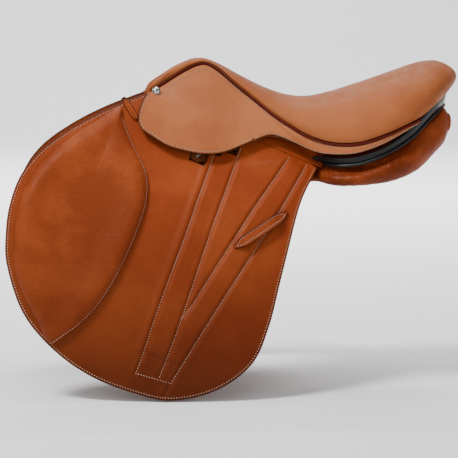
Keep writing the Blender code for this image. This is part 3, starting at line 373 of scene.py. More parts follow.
def mirrored(spot, right):
    """The point itself on the right side, its mirror image on the left."""
    return Vector((spot.x, spot.y if right else -spot.y, spot.z))


def rounded(near, radius=EDGE_ROUND):
    """How far under its face a round edge lies, this near to the edge."""
    return radius - np.sqrt(np.maximum(radius ** 2 - np.maximum(radius - near, 0.0) ** 2, 0.0))


def smoothstep(x, low, high):
    t = np.clip((x - low) / (high - low), 0.0, 1.0)
    return t * t * (3 - 2 * t)


# Seat surface

SEAT_ROWS = SEAT_STATIONS + (SEAT_STATIONS[-2][:3] + (-SEAT_STATIONS[-2][3],) + SEAT_STATIONS[-2][4:],)
SEAT_KNOTS = [knots([(row[i], row[i + 1], 0.0) for row in SEAT_ROWS]) for i in (0, 2, 4)]
SEAT_SHARE = (len(SEAT_STATIONS) - 1) / (len(SEAT_ROWS) - 1)


@lru_cache(maxsize=None)
def seat_row(u):
    return [on_knots(column, u * SEAT_SHARE) for column in SEAT_KNOTS]


@lru_cache(maxsize=None)
def seat_edge(u):
    if u >= 1.0:
        return Vector((0.0, -1.0, 0.0))
    return (seat_row(u + 0.01)[1] - seat_row(u - 0.01)[1]).normalized()


def under_seat(u, v, depth):
    """Point this deep under the seat's leather, u front to rear, v crest to welt."""
    (crest_x, crest_z, _), (welt_x, welt_out, _), (welt_z, roll, _) = seat_row(u)
    if u >= 1.0:
        welt_out = 0.0
    angle = v * math.pi / 2
    power = 2 / SEAT_ROUNDNESS
    across = math.sin(angle) ** power
    height = max(math.cos(angle), 0.0) ** power
    sink = depth * min(max((SEAT_TALL - (crest_z - welt_z)) / SEAT_TALL * 1.5, 0.0), 1.0)
    reach = Vector((welt_x - crest_x, welt_out, 0.0))
    away = reach.normalized()
    length = reach.length * math.exp(-depth / reach.length)
    bulge = max(roll - depth, 0.0) * math.sin(2 * angle) * v
    edge = seat_edge(u)
    drop = welt_z - sink
    ahead = 1 + max(1 - u / POMMEL_LENGTH, 0.0)
    return Vector((crest_x + away.x * length * across ** ahead - edge.y * bulge,
                   away.y * length * across + edge.x * bulge,
                   drop + (crest_z - depth - drop) * height))


def welt_frame(u):
    """Middle of the welt, with its ways along, out and down."""
    cord = (under_seat(u + 0.01, 1.0, 0) - under_seat(u - 0.01, 1.0, 0)).normalized()
    away = Vector((-cord.y, cord.x, 0.0)).normalized()
    down = cord.cross(away).normalized()
    if down.z > 0:
        down = -down
    return under_seat(u, 1.0, 0) + away * WELT_OUT + down * WELT_DROP, cord, away, down


# Meshes and pieces

def grid(columns, rows):
    bm = bmesh.new()
    bmesh.ops.create_grid(bm, x_segments=columns, y_segments=rows, size=1.0)
    return bm


def add_back(bm):
    """Gives a flat mesh a back, marked by z = 1, and sides."""
    for item in bmesh.ops.extrude_face_region(bm, geom=bm.faces[:], use_keep_orig=True)["geom"]:
        if isinstance(item, bmesh.types.BMVert):
            item.co.z = 1.0


def shape(bm, place):
    """Moves a grid's vertices, which reach from -1 to 1, to the places for their shares."""
    for vert in bm.verts:
        vert.co = place(round((vert.co.x + 1) / 2, 6), round((vert.co.y + 1) / 2, 6), vert.co.z)


def slab(columns, rows, place):
    """A closed slab: place(share along, share across, 0 on its face or 1 on its back)."""
    bm = grid(columns, rows)
    add_back(bm)
    shape(bm, place)
    outwards(bm)
    return bm


def outwards(bm):
    bmesh.ops.recalc_face_normals(bm, faces=bm.faces)
    if bm.calc_volume(signed=True) < 0:
        bmesh.ops.reverse_faces(bm, faces=bm.faces)


def tube_grid(columns, rows, place):
    """A grid closed round its second direction, its open ends filled."""
    bm = grid(columns, rows)
    shape(bm, lambda a, b, back: place(a, b % 1.0))
    bmesh.ops.remove_doubles(bm, verts=bm.verts, dist=0.01)
    bmesh.ops.dissolve_degenerate(bm, edges=bm.edges, dist=0.005)
    rims = [edge for edge in bm.edges if edge.is_boundary]
    if rims:
        bmesh.ops.holes_fill(bm, edges=rims, sides=0)
    outwards(bm)
    return bm


def cord_mesh(line, radius, sides):
    """A round cord along a line of points, its ends closed by a dome."""
    bm = bmesh.new()
    rings, across, last = [], None, len(line) - 1
    for i, point in enumerate(line):
        along = (line[min(i + 1, last)] - line[max(i - 1, 0)]).normalized()
        across = along.orthogonal() if across is None else across - along * across.dot(along)
        across.normalize()
        other = along.cross(across)
        wide = radius * {0: 0.45, 1: 0.85}.get(min(i, last - i), 1.0)
        turns = [math.tau * k / sides for k in range(sides)]
        rings.append([bm.verts.new(point + (across * math.cos(turn) + other * math.sin(turn)) * wide)
                      for turn in turns])
    for a, b in zip(rings, rings[1:]):
        for k in range(sides):
            bm.faces.new((a[k], a[(k + 1) % sides], b[(k + 1) % sides], b[k]))
    bm.faces.new(rings[0])
    bm.faces.new(rings[-1])
    outwards(bm)
    return bm


def join_meshes(*meshes):
    whole = bmesh.new()
    for bm in meshes:
        held = bpy.data.meshes.new("held")
        bm.to_mesh(held)
        bm.free()
        whole.from_mesh(held)
        bpy.data.meshes.remove(held)
    return whole


def in_scene(name, data):
    item = bpy.data.objects.new(name, data)
    bpy.context.scene.collection.objects.link(item)
    return item


def emit(name, bm, side, body, finish, stands_for, sharp=38):
    """Turns a mesh in millimetres into a named piece that rides on a body."""
    for vert in bm.verts:
        vert.co = Vector((vert.co.x, vert.co.y * side, vert.co.z)) * MM
    if side < 0:
        bmesh.ops.reverse_faces(bm, faces=bm.faces)
    mesh = bpy.data.meshes.new(name)
    bm.to_mesh(mesh)
    bm.free()
    mesh.materials.append(finish)
    mesh.shade_smooth()
    mesh.set_sharp_from_angle(angle=math.radians(sharp))
    piece = in_scene(name, mesh)
    if body:
        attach(piece, body)
    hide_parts(*stands_for)
    return piece


def own_name(name, label):
    """The name for one side, if it holds %s for the side."""
    return name % label if name and "%s" in name else name


def emit_pair(name, bm, body, finish, node, sharp=38):
    """Both sides of a piece, mirrored. Its node's name holds %s for the side, and its body's may."""
    made = {}
    for label, side in SIDES.items():
        made[label] = emit(name + "_" + label, bm.copy(), side, own_name(body, label), finish,
                           (node % label,), sharp)
    bm.free()
    return made


def declare_sheets(outline):
    """Turns the outline into an array and does nothing more with it."""
    outline = np.asarray(outline, float)


def paint_edges(bm, shares):
    """Marks how much edge paint each vertex carries, 0 to 1."""
    rim = bm.verts.layers.float.new("rim")
    for vert, share in zip(bm.verts, shares):
        vert[rim] = share


CUT_NUDGE = 0.013


def leather(outline, free_edges, depth, thickness, step, relief=None):
    """A leather layer: its outline in fold coordinates, its free edges rounded and painted.

    The face is cut into cells of one step, each cut nudged off the outline's own points.
    """
    bm = bmesh.new()
    face = bm.faces.new([bm.verts.new((s, n, 0.0)) for s, n in outline])
    for width in EDGE_RINGS:
        bmesh.ops.inset_individual(bm, faces=[face], thickness=width, use_even_offset=False)
    flat = np.asarray(outline, float)
    for axis in (0, 1):
        level = math.ceil(flat[:, axis].min() / step + 0.2) * step
        while level < flat[:, axis].max() - 0.2:
            where, way = [0.0, 0.0, 0.0], [0.0, 0.0, 0.0]
            where[axis], way[axis] = level + CUT_NUDGE, 1.0
            bmesh.ops.bisect_plane(bm, geom=bm.verts[:] + bm.edges[:] + bm.faces[:], dist=0.0005,
                                   plane_co=where, plane_no=way)
            level += step
    add_back(bm)
    places = np.array([vert.co[:] for vert in bm.verts])
    near = np.min([away_from(places, line) for line in free_edges], axis=0)
    drop = rounded(near)
    lift = relief(places) if relief else np.zeros(len(places))
    depths = np.where(places[:, 2] < 0.5, depth + drop - lift, depth + thickness - drop)
    for vert, spot in zip(bm.verts, layers(places[:, 0], places[:, 1], depths)):
        vert.co = spot
    paint_edges(bm, 1 - smoothstep(near, *EDGE_PAINTED))
    outwards(bm)
    return bm


# Finishes

def add_node(tree, kind, feeds=(), out=0, **settings):
    """One output of a new node with these settings, its inputs fed by sockets or values."""
    node = tree.nodes.new(kind)
    for key, value in settings.items():
        setattr(node, key, value)
    for key, value in dict(feeds).items():
        if isinstance(value, bpy.types.NodeSocket):
            tree.links.new(value, node.inputs[key])
        else:
            node.inputs[key].default_value = value
    return node.outputs[out]


class Finish:
    """One material, built node by node on its Principled shader."""

    def __init__(self, name, **shader):
        self.material = bpy.data.materials.new(name)
        self.material.use_nodes = True
        self.tree = self.material.node_tree
        self.add = partial(add_node, self.tree)
        self.shader = self.tree.nodes["Principled BSDF"]
        for key, value in shader.items():
            self.shader.inputs[key.replace("_", " ")].default_value = value
        self.place = self.add("ShaderNodeTexCoord", out="Object")

    def stretched(self, scale, turn=(0, 0, 0)):
        return self.add("ShaderNodeMapping", {"Vector": self.place, "Scale": scale, "Rotation": turn})

    def noise(self, scale, detail=3.0, rough=0.55, vector=None, distortion=0.0):
        feeds = {"Vector": vector or self.place, "Scale": scale, "Detail": detail, "Roughness": rough,
                 "Distortion": distortion}
        return self.add("ShaderNodeTexNoise", feeds, "Fac")

    def cells(self, scale, vector=None, feature="F1"):
        feeds = {"Vector": vector or self.place, "Scale": scale}
        return self.add("ShaderNodeTexVoronoi", feeds, "Distance", feature=feature)

    def waves(self, scale, direction, distortion=0.0):
        feeds = {"Vector": self.place, "Scale": scale, "Distortion": distortion}
        return self.add("ShaderNodeTexWave", feeds, "Fac", bands_direction=direction)

    def ranged(self, value, low, high, to_low=0.0, to_high=1.0, way="SMOOTHSTEP"):
        feeds = {"Value": value, "From Min": low, "From Max": high, "To Min": to_low, "To Max": to_high}
        return self.add("ShaderNodeMapRange", feeds, "Result", interpolation_type=way)

    def maths(self, operation, a, b):
        return self.add("ShaderNodeMath", {0: a, 1: b}, operation=operation)

    def mix(self, share, a, b, blend="MIX"):
        a, b = ((*colour, 1.0) if isinstance(colour, tuple) else colour for colour in (a, b))
        return self.add("ShaderNodeMix", {0: share, 6: a, 7: b}, 2, data_type="RGBA", blend_type=blend)

    def height(self, value, distance, strength, normal=None):
        feeds = {"Height": value, "Distance": distance, "Strength": strength}
        if normal:
            feeds["Normal"] = normal
        return self.add("ShaderNodeBump", feeds)

    def done(self, colour, roughness=None, normal=None):
        for key, value in (("Base Color", colour), ("Roughness", roughness), ("Normal", normal)):
            if value is not None:
                self.tree.links.new(value, self.shader.inputs[key])
        return self.material


LEATHER_SHINE = (1.0, 0.62, 0.42, 1.0)
# Heights in metres between which the low colour's painted shade fades out, from the foot upwards
PAINTED_SHADE_BETWEEN = (-0.335, -0.02)


def leather_finish(name, light, dark, edge, grain=900.0, relief=0.00016, rough=(0.42, 0.6), low=None,
                   crease=0.0, pebble=0.0):
    """Leather: dyed unevenly, grained, darker in its creases and at its painted edges.

    With a low colour it also darkens towards its foot, between two heights in metres, as painted shade where
    less light falls.
    """
    f = Finish(name, Specular_IOR_Level=0.2, Specular_Tint=LEATHER_SHINE)
    tone = f.noise(9.0, 4.0, 0.6)
    patches = f.ranged(f.noise(38.0, 3.0, 0.5, distortion=0.4), 0.35, 0.7)
    colour = f.mix(f.ranged(tone, 0.36, 0.64), dark, light)
    colour = f.mix(f.maths("MULTIPLY", patches, 0.22), colour, dark)
    # Painted shade: darker towards the foot, where less light falls
    if low:
        height = f.add("ShaderNodeSeparateXYZ", {"Vector": f.place}, "Z")
        shade_height = f.maths("ADD", height, f.maths("MULTIPLY", tone, 0.05))
        colour = f.mix(f.ranged(shade_height, *PAINTED_SHADE_BETWEEN, 0.9, 0.0, "LINEAR"), colour, low)
    pebbles = f.cells(grain, f.stretched((1.0, 1.0, 1.25)), "SMOOTH_F1")
    fine = f.noise(grain * 2.6, 2.0, 0.6)
    pores = f.maths("ADD", f.maths("MULTIPLY", pebbles, 0.8), f.maths("MULTIPLY", fine, 0.35))
    colour = f.mix(f.ranged(pores, 0.18, 0.62, 0.26, 0.0), colour, dark, "MULTIPLY")
    rim = f.add("ShaderNodeAttribute", out="Fac", attribute_name="rim")
    colour = f.mix(rim, colour, edge)
    normal = f.height(pores, relief, 0.75)
    if pebble:
        rows = f.cells(300.0, f.stretched((0.75, 1.0, 1.7)), "SMOOTH_F1")
        normal = f.height(rows, pebble, 0.6, normal)
    if crease:
        lines = f.cells(52.0, f.stretched((2.4, 1.0, 0.55)), "DISTANCE_TO_EDGE")
        normal = f.height(f.ranged(lines, 0.0, 0.12), crease, 0.5, normal)
    return f.done(colour, f.ranged(f.noise(60.0, 3.0), 0.3, 0.7, *rough), normal)


def wood_finish():
    f = Finish("laminated_beech", Specular_IOR_Level=0.4)
    fibre = f.noise(300.0, 4.0, 0.6, f.stretched((0.12, 1.0, 1.0)))
    colour = f.mix(f.waves(160.0, "Z", 2.0), (0.5, 0.3, 0.14), (0.68, 0.47, 0.25))
    colour = f.mix(f.maths("MULTIPLY", fibre, 0.35), colour, (0.36, 0.2, 0.09))
    return f.done(colour, f.ranged(fibre, 0.3, 0.7, 0.5, 0.7), f.height(fibre, 0.0002, 0.5))


def steel_finish(name, colour, rough, streak=700.0, deep=0.00004):
    f = Finish(name, Metallic=1.0)
    brushed = f.noise(streak, 3.0, 0.6, f.stretched((0.08, 1.0, 1.0), (0.0, 0.4, 0.0)))
    smudge = f.noise(45.0, 3.0)
    tint = f.mix(f.ranged(smudge, 0.3, 0.7), colour, tuple(c * 0.82 for c in colour))
    return f.done(tint, f.ranged(f.maths("ADD", brushed, smudge), 0.6, 1.4, *rough),
                  f.height(brushed, deep, 0.5))


# The middle of the bar's painted highlight near its tip, and the distances over which it fades into the
# painted shade, in metres
TIP_HIGHLIGHT_SPOT = (-0.048, 0.0, -0.004)
TIP_HIGHLIGHT_FADE = (0.011, 0.0145)


def bar_finish():
    """Steel painted dark as painted shade under the skirt, with a painted highlight round the bar's tip, in
    metres.
    """
    f = Finish("bar_steel_painted_light", Metallic=1.0)
    brushed = f.noise(700.0, 3.0, 0.6, f.stretched((0.08, 1.0, 1.0)))
    flat = f.add("ShaderNodeVectorMath", {0: f.place, 1: (1.0, 0.0, 1.0)}, operation="MULTIPLY")
    away = f.add("ShaderNodeVectorMath", {0: flat, 1: TIP_HIGHLIGHT_SPOT}, "Value", operation="DISTANCE")
    tip_highlight = f.ranged(f.maths("ADD", away, f.maths("MULTIPLY", brushed, 0.003)), *TIP_HIGHLIGHT_FADE, 1.0, 0.0)
    # Painted shade on most of the bar, a painted highlight at its tip
    colour = f.mix(tip_highlight, (0.05, 0.045, 0.04), (0.9, 0.9, 0.9))
    return f.done(colour, f.ranged(tip_highlight, 0.0, 1.0, 0.5, 0.34), f.height(brushed, 0.00003, 0.5))


def web_finish(name, dark, light):
    f = Finish(name, Sheen_Weight=0.1, Specular_IOR_Level=0.2)
    weave = f.maths("MULTIPLY", f.waves(420.0, "X", 0.4), f.waves(420.0, "Z", 0.4))
    colour = f.mix(f.ranged(weave, 0.0, 0.8), dark, light)
    return f.done(colour, f.ranged(weave, 0.0, 1.0, 0.95, 0.8), f.height(weave, 0.0004, 0.7))


def foam_finish():
    f = Finish("latex_foam")
    bubbles = f.cells(1400.0)
    colour = f.mix(f.ranged(bubbles, 0.1, 0.6), (0.52, 0.45, 0.24), (0.82, 0.76, 0.5))
    return f.done(colour, f.ranged(bubbles, 0.0, 1.0, 1.0, 0.85), f.height(bubbles, 0.0005, 0.6))


def patent_finish():
    f = Finish("black_patent", Specular_IOR_Level=0.25)
    waves = f.noise(55.0, 3.0, 0.5)
    dust = f.noise(900.0, 2.0, 0.7)
    colour = f.mix(f.ranged(dust, 0.45, 0.75), (0.006, 0.006, 0.007), (0.014, 0.012, 0.012))
    return f.done(colour, f.ranged(waves, 0.3, 0.7, 0.3, 0.46), f.height(waves, 0.0006, 0.4))


def thread_finish():
    f = Finish("waxed_thread", Sheen_Weight=0.2)
    twist = f.waves(900.0, "DIAGONAL")
    colour = f.mix(twist, (0.46, 0.27, 0.16), (0.74, 0.52, 0.37))
    return f.done(colour, f.ranged(twist, 0.0, 1.0, 0.7, 0.5), f.height(twist, 0.0001, 0.5))


def plain_finish(name, scale, dark, light):
    """A dull one-coloured finish, a little uneven."""
    f = Finish(name, Roughness=0.9)
    return f.done(f.mix(f.noise(scale), dark, light))


EDGE_PAINT = (0.016, 0.005, 0.003)
# each leather: its lighter and darker colour, its edge paint, then its grain and relief
SKIRT_TAN = leather_finish("skirt_leather", (0.38, 0.124, 0.046), (0.30, 0.087, 0.030), EDGE_PAINT, 1050.0)
SEAT_TAN = leather_finish("seat_leather", (0.325, 0.098, 0.032), (0.265, 0.070, 0.021), EDGE_PAINT, 1050.0,
                          0.00012, rough=(0.5, 0.65))
# The flap's and the knee pad's low colours are painted shade towards their foot
FLAP_TAN = leather_finish("flap_leather", (0.285, 0.052, 0.0115), (0.215, 0.033, 0.0070),
                          (0.03, 0.006, 0.0025), 950.0, low=(0.030, 0.0030, 0.0007), rough=(0.48, 0.6))
PAD_TAN = leather_finish("pad_leather", (0.275, 0.052, 0.0122), (0.18, 0.028, 0.0060),
                         (0.06, 0.012, 0.004), 700.0, 0.0003, low=(0.05, 0.004, 0.0005),
                         rough=(0.44, 0.58), pebble=0.0007)
PANEL_TAN = leather_finish("panel_leather", (0.24, 0.043, 0.0098), (0.11, 0.0145, 0.0028), EDGE_PAINT,
                           800.0, 0.0002, rough=(0.32, 0.46), crease=0.0006)
BILLET_BROWN = leather_finish("billet_leather", (0.12, 0.026, 0.007), (0.065, 0.012, 0.0035), EDGE_PAINT,
                              1000.0, rough=(0.4, 0.55))
WELT_RED = leather_finish("welt_leather", (0.085, 0.004, 0.004), (0.045, 0.002, 0.002), EDGE_PAINT, 1200.0,
                          0.0001, rough=(0.4, 0.55))
LOOP_TAN = leather_finish("loop_leather", (0.40, 0.085, 0.014), (0.26, 0.042, 0.006), (0.08, 0.014, 0.004),
                          1000.0)
PATENT = patent_finish()
SHADED_BAR_STEEL = bar_finish()
STEEL = steel_finish("brushed_steel", (0.62, 0.62, 0.64), (0.2, 0.42))
CHROME = steel_finish("polished_chrome", (0.5, 0.5, 0.52), (0.1, 0.2), 300.0, 0.00001)
WOOD = wood_finish()
SEAT_WEB = web_finish("linen_web", (0.42, 0.34, 0.22), (0.72, 0.64, 0.47))
GIRTH_WEB = web_finish("brown_girth_web", (0.24, 0.055, 0.012), (0.40, 0.105, 0.028))
FOAM = foam_finish()
THREAD = thread_finish()
# A dull near-black finish for the painted shade of the awl holes
AWL_HOLE_SHADE = plain_finish("awl_hole_shade", 500.0, (0.03, 0.008, 0.004), (0.05, 0.015, 0.007))
# start, length, width and height of the thread's stitches and of the awl's holes between them; the holes are
# dark beads of painted shade
STITCHES = ((0.0, 2.1, 1.2, 0.9, THREAD), (STITCH_PITCH / 2, 1.9, 1.9, 0.8, AWL_HOLE_SHADE))
CAD_FINISHES = (
    (("stirrup_bar",), SHADED_BAR_STEEL),
    (("bar_catch", "bar_rivet", "gullet_plate", "head_plate"), STEEL),
    (("tree_cantle",), WOOD),
    (("tree_head", "tree_rail"), BILLET_BROWN),
    (("seat_web", "waist_web"), SEAT_WEB),
    (("girth_web",), GIRTH_WEB),
    (("seat_foam",), FOAM),
)


# Seams

STITCH_SIZES = ("Start", "Pitch", "Length", "Width", "Proud")
seam_lines = {}


def sew(body, points, normals, surface):
    """Keeps a line of stitches for a body, laid on a surface, and its mirror image on the left."""
    points, normals = np.asarray(points, float), np.asarray(normals, float)
    reach = np.concatenate(([0.0], np.cumsum(np.linalg.norm(np.diff(points, axis=0), axis=1))))
    marks = np.linspace(0.0, reach[-1], max(int(reach[-1] / SEAM_STEP), 2))
    points, normals = (np.stack([np.interp(marks, reach, column) for column in rows.T], axis=1)
                       for rows in (points, normals))
    laid, ups = [], []
    for point, normal in zip(points, normals):
        point, normal = Vector(point), Vector(normal).normalized()
        hit = surface.ray_cast(point + normal * SEAM_REACH, -normal, 2 * SEAM_REACH)[0]
        laid.append((hit or point) + normal * SEAM_LIFT)
        ups.append(normal)
    for label, side in SIDES.items():
        flip = np.array([1.0, side, 1.0])
        line = np.array(laid) * flip, np.array(ups) * flip
        seam_lines.setdefault(own_name(body, label), []).append(line)


def sew_on_layer(body, line, depth, surface):
    """A line of stitches in fold coordinates on a leather's face."""
    s, n = np.asarray(line, float).T
    sew(body, layers(s, n, depth), layer_normals(s, n, depth), surface)


def stitch_tree():
    """Stitches along a line: resampled to the pitch, one bead for each, turned along the line."""
    tree = bpy.data.node_groups.new("stitches", "GeometryNodeTree")
    add = partial(add_node, tree)
    for name, in_out, kind in (
            ("Geometry", "INPUT", "Geometry"), ("Geometry", "OUTPUT", "Geometry"),
            *((name, "INPUT", "Float") for name in STITCH_SIZES), ("Thread", "INPUT", "Material")):
        tree.interface.new_socket(name, in_out=in_out, socket_type="NodeSocket" + kind)
    given = tree.nodes.new("NodeGroupInput").outputs
    line = add("GeometryNodeMeshToCurve", {"Mesh": given["Geometry"]})
    whole = add("GeometryNodeSplineLength", out="Length")
    line = add("GeometryNodeTrimCurve", {"Curve": line, 4: given["Start"], 5: whole}, mode="LENGTH")
    spaced = add("GeometryNodeResampleCurve", {"Curve": line, "Length": given["Pitch"]}, mode="LENGTH")
    bead = add("GeometryNodeMeshUVSphere", {"Segments": 6, "Rings": 4, "Radius": 0.5}, "Mesh")
    size = add("ShaderNodeCombineXYZ", {0: given["Length"], 1: given["Width"], 2: given["Proud"]})
    bead = add("GeometryNodeTransform", {"Geometry": bead, "Scale": size})
    up = add("GeometryNodeInputNamedAttribute", {"Name": "up"}, data_type="FLOAT_VECTOR")
    turn = add("FunctionNodeAlignRotationToVector", {"Vector": add("GeometryNodeInputTangent")}, axis="X")
    turn = add("FunctionNodeAlignRotationToVector", {"Rotation": turn, "Vector": up}, axis="Z",
               pivot_axis="X")
    beads = add("GeometryNodeInstanceOnPoints", {"Points": spaced, "Instance": bead, "Rotation": turn})
    real = add("GeometryNodeRealizeInstances", {"Geometry": beads})
    dyed = add("GeometryNodeSetMaterial", {"Geometry": real, "Material": given["Thread"]})
    smooth = add("GeometryNodeSetShadeSmooth", {"Geometry": dyed})
    tree.links.new(smooth, tree.nodes.new("NodeGroupOutput").inputs[0])
    return tree


def make_stitches():
    """One mesh of stitches for each body that has sewn lines."""
    tree = stitch_tree()
    inputs = {item.name: item.identifier for item in tree.interface.items_tree if item.in_out == "INPUT"}
    for body, lines in seam_lines.items():
        points, edges, ups = [], [], []
        for line, normals in lines:
            first = len(points)
            points += [tuple(p) for p in line * MM]
            ups += [tuple(n) for n in normals]
            edges += [(first + i, first + i + 1) for i in range(len(line) - 1)]
        mesh = bpy.data.meshes.new("sewn_lines")
        mesh.from_pydata(points, edges, [])
        up = mesh.attributes.new("up", "FLOAT_VECTOR", "POINT")
        up.data.foreach_set("vector", np.asarray(ups, np.float32).ravel())
        whole = bmesh.new()
        for index, (start, long, wide, proud, thread) in enumerate(STITCHES):
            drawn = in_scene("sewn_lines", mesh)
            beads = drawn.modifiers.new("stitches", "NODES")
            beads.node_group = tree
            for name, value in zip(STITCH_SIZES, (start, STITCH_PITCH, long, wide, proud)):
                beads[inputs[name]] = value * MM
            beads[inputs["Thread"]] = thread
            graph = bpy.context.evaluated_depsgraph_get()
            made = bpy.data.meshes.new_from_object(drawn.evaluated_get(graph))
            bpy.data.objects.remove(drawn)
            before = len(whole.faces)
            whole.from_mesh(made)
            whole.faces.ensure_lookup_table()
            for face in whole.faces[before:]:
                face.material_index = index
                face.smooth = True
            bpy.data.meshes.remove(made)
        bpy.data.meshes.remove(mesh)
        sewn = bpy.data.meshes.new("stitches_" + body)
        whole.to_mesh(sewn)
        whole.free()
        for stitch in STITCHES:
            sewn.materials.append(stitch[-1])
        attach(in_scene("stitches_" + body, sewn), body)


# Seat, welt and skirt

def seat_dip(u, v):
    """How far the leather is drawn in at the welt and worn in by sitting, in millimetres."""
    tuck = float(smoothstep(v, 0.955, 1.0)) ** 2
    point = Vector((u * 9.0, v * 3.0, 2.0))
    return tuck + 0.35 * noise.noise(point) + 0.18 * noise.noise(point * 3.1)


def build_seat():
    """The seat, a slab in two halves. The wall where they meet on the middle plane is taken out."""
    columns, rows = 150, 84

    def place(a, b, back):
        v = abs(2 * b - 1)
        return mirrored(under_seat(a, v, SEAT_UNDERSIDE if back else seat_dip(a, v)), b > 0.5)
    bm = slab(columns, rows, place)
    bmesh.ops.remove_doubles(bm, verts=bm.verts, dist=0.02)
    bmesh.ops.dissolve_degenerate(bm, edges=bm.edges, dist=0.01)
    inner = [face for face in bm.faces if all(abs(vert.co.y) < 0.01 for vert in face.verts)]
    bmesh.ops.delete(bm, geom=inner, context="FACES")
    outwards(bm)
    seat = emit("seat", bm, 1, "saddle", SEAT_TAN, ("seat_cover", "seat_foam"))


def build_welt():
    frames = [welt_frame(BAND_END * i / WELT_STEPS) for i in range(WELT_STEPS + 1)]
    cords = [cord_mesh([middle + down * drop + away * out for middle, _, away, down in frames],
                       radius, sides) for radius, sides, drop, out in WELT_CORDS]
    emit_pair("welt_cords", join_meshes(*cords), "saddle", WELT_RED, "welt_%s")


def band_point(a, b):
    """The fixed skirt, from the welt down to the fold line or the rear lower edge, and its width there."""
    top = welt_frame(a * BAND_END)[0]
    if a < BAND_CORNER:
        low = layer(to_fold(*BAND_FOLD_END)[0] * a / BAND_CORNER * BAND_FOLD_SHARE, 0.0, 0.0)
    else:
        first, last = BAND_LOW[0][0], BAND_LOW[-1][0]
        low = at_x(BAND_LOW, first + (last - first) * (a - BAND_CORNER) / (1 - BAND_CORNER))
    cord = (welt_frame((a + 0.01) * BAND_END)[0] - welt_frame((a - 0.01) * BAND_END)[0]).normalized()
    run = low - top
    top = top + (run - cord * run.dot(cord)).normalized() * BAND_TOP
    narrow = max(1 - run.length / BAND_WIDE, 0.0)
    point = top.lerp(low, b)
    point.y += BAND_TURN_OUT * narrow * (1 - b) + BAND_CROWN * math.sin(math.pi * b) * (1 - narrow)
    return point, (low - top).length


def build_band():
    """The skirt above the fold line, with its rounded rear edge and two sewn lines."""
    table = [[band_point(i / BAND_COLUMNS, j / BAND_SAMPLES) for j in range(BAND_SAMPLES + 1)]
             for i in range(BAND_COLUMNS + 1)]
    longs = [column[0][1] for column in table]

    def on_band(i, b):
        j = min(int(b * BAND_SAMPLES), BAND_SAMPLES - 1)
        return table[i][j][0].lerp(table[i][j + 1][0], b * BAND_SAMPLES - j)

    def normal_at(i, b):
        before, after = max(i - 1, 0), min(i + 1, BAND_COLUMNS)
        along = on_band(after, b) - on_band(before, b)
        down = on_band(i, min(b + 0.03, 1.0)) - on_band(i, max(b - 0.03, 0.0))
        n = along.cross(down).normalized()
        return n if n.y > 0 else -n

    def rows(long):
        """Shares down the band, close together at its two edges."""
        top = [ring / long for ring in BAND_RINGS]
        low = [1 - share for share in reversed(top)]
        count = BAND_ROWS + 2 - 2 * len(BAND_RINGS)
        return top + [top[-1] + (low[0] - top[-1]) * k / count for k in range(1, count)] + low
    shares = [rows(long) for long in longs]

    def place(a, b, back):
        i = round(a * BAND_COLUMNS)
        share = shares[i][round(b * BAND_ROWS)]
        free = float(smoothstep(a, BAND_CORNER, BAND_CORNER + 0.02))
        drop = free * float(rounded((1 - share) * longs[i])) + max(1 - share * longs[i], 0.0) / 2
        return on_band(i, share) - normal_at(i, share) * (SKIRT_THICK - drop if back else drop)
    bm = slab(BAND_COLUMNS, BAND_ROWS, place)
    low_line = [on_band(i, 1.0) for i in range(int(BAND_COLUMNS * BAND_CORNER) + 1, BAND_COLUMNS + 1)]
    spots = np.array([(v.co.x, v.co.z) for v in bm.verts])
    painted = 1 - smoothstep(away_from(spots, [(p.x, p.z) for p in low_line]), 0.3, 1.7)
    paint_edges(bm, np.where(spots[:, 0] > BAND_PAINT_FROM, painted, 0.0))
    surface = BVHTree.FromBMesh(bm)
    emit_pair("skirt", bm, "saddle", SKIRT_TAN, "skirt_band_%s")
    for first, distance, most, from_low in BAND_SEAMS:
        row = []
        for i in range(2, BAND_COLUMNS - 1):
            share = min(distance, longs[i] * most) / longs[i]
            if i / BAND_COLUMNS > first:
                row.append((i, 1 - share if from_low else share))
        sew("saddle", [on_band(*spot) + normal_at(*spot) * SEAM_LIFT for spot in row],
            [normal_at(*spot) for spot in row], surface)


def build_lobe():
    """The skirt's lifting lobe: its top lies edge to edge with the skirt along the fold line."""
    edge = [(s, max(n, LOBE_TOP)) for s, n in fold_line(LOBE_EDGE, 130)]
    while edge[1][1] <= LOBE_TOP:
        edge.pop(0)
    while edge[-2][1] <= LOBE_TOP:
        edge.pop()
    outline = edge + [(edge[-1][0] + (edge[0][0] - edge[-1][0]) * k / 24, LOBE_TOP) for k in range(1, 24)]
    bm = leather(outline, [edge], 0.0, SKIRT_THICK, 7.0)
    surface = BVHTree.FromBMesh(bm)
    pieces = emit_pair("skirt_lobe_leather", bm, None, SKIRT_TAN, "skirt_lobe_%s")
    declare_sheets(outline)
    for label, piece in pieces.items():
        start, end = (mirrored(layer(LOBE_BEND_AT, n, 0.0) * MM, label == "right") for n in LOBE_BEND)
        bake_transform(piece, label + "_flap", label + "_lobe", start=tuple(start), end=tuple(end))
    line = stitch_line(edge, outline)
    sew_on_layer("%s_lobe", line[line[:, 1] > LOBE_SEAM_FROM], 0.0, surface)


# Flap, knee pad, keeper and loop

FLAP_LINE = [(s, max(n, 1.0)) for s, n in fold_line(FLAP_EDGE, 240)]
SEAM_LINES = [fold_line(seam, 90) for seam in SEAMS]
SOFT_LINE = fold_line(SOFT_RIDGE, 50)
FOOT_LINE = fold_line(SOFT_FOOT[1:], 8)
CREASE_LINE = fold_line(FOOT_CREASE, 6)
PADDED_RING = np.concatenate((SOFT_LINE, fold_line(SOFT_FOOT, 12), SEAM_LINES[3][::-1][6:]))


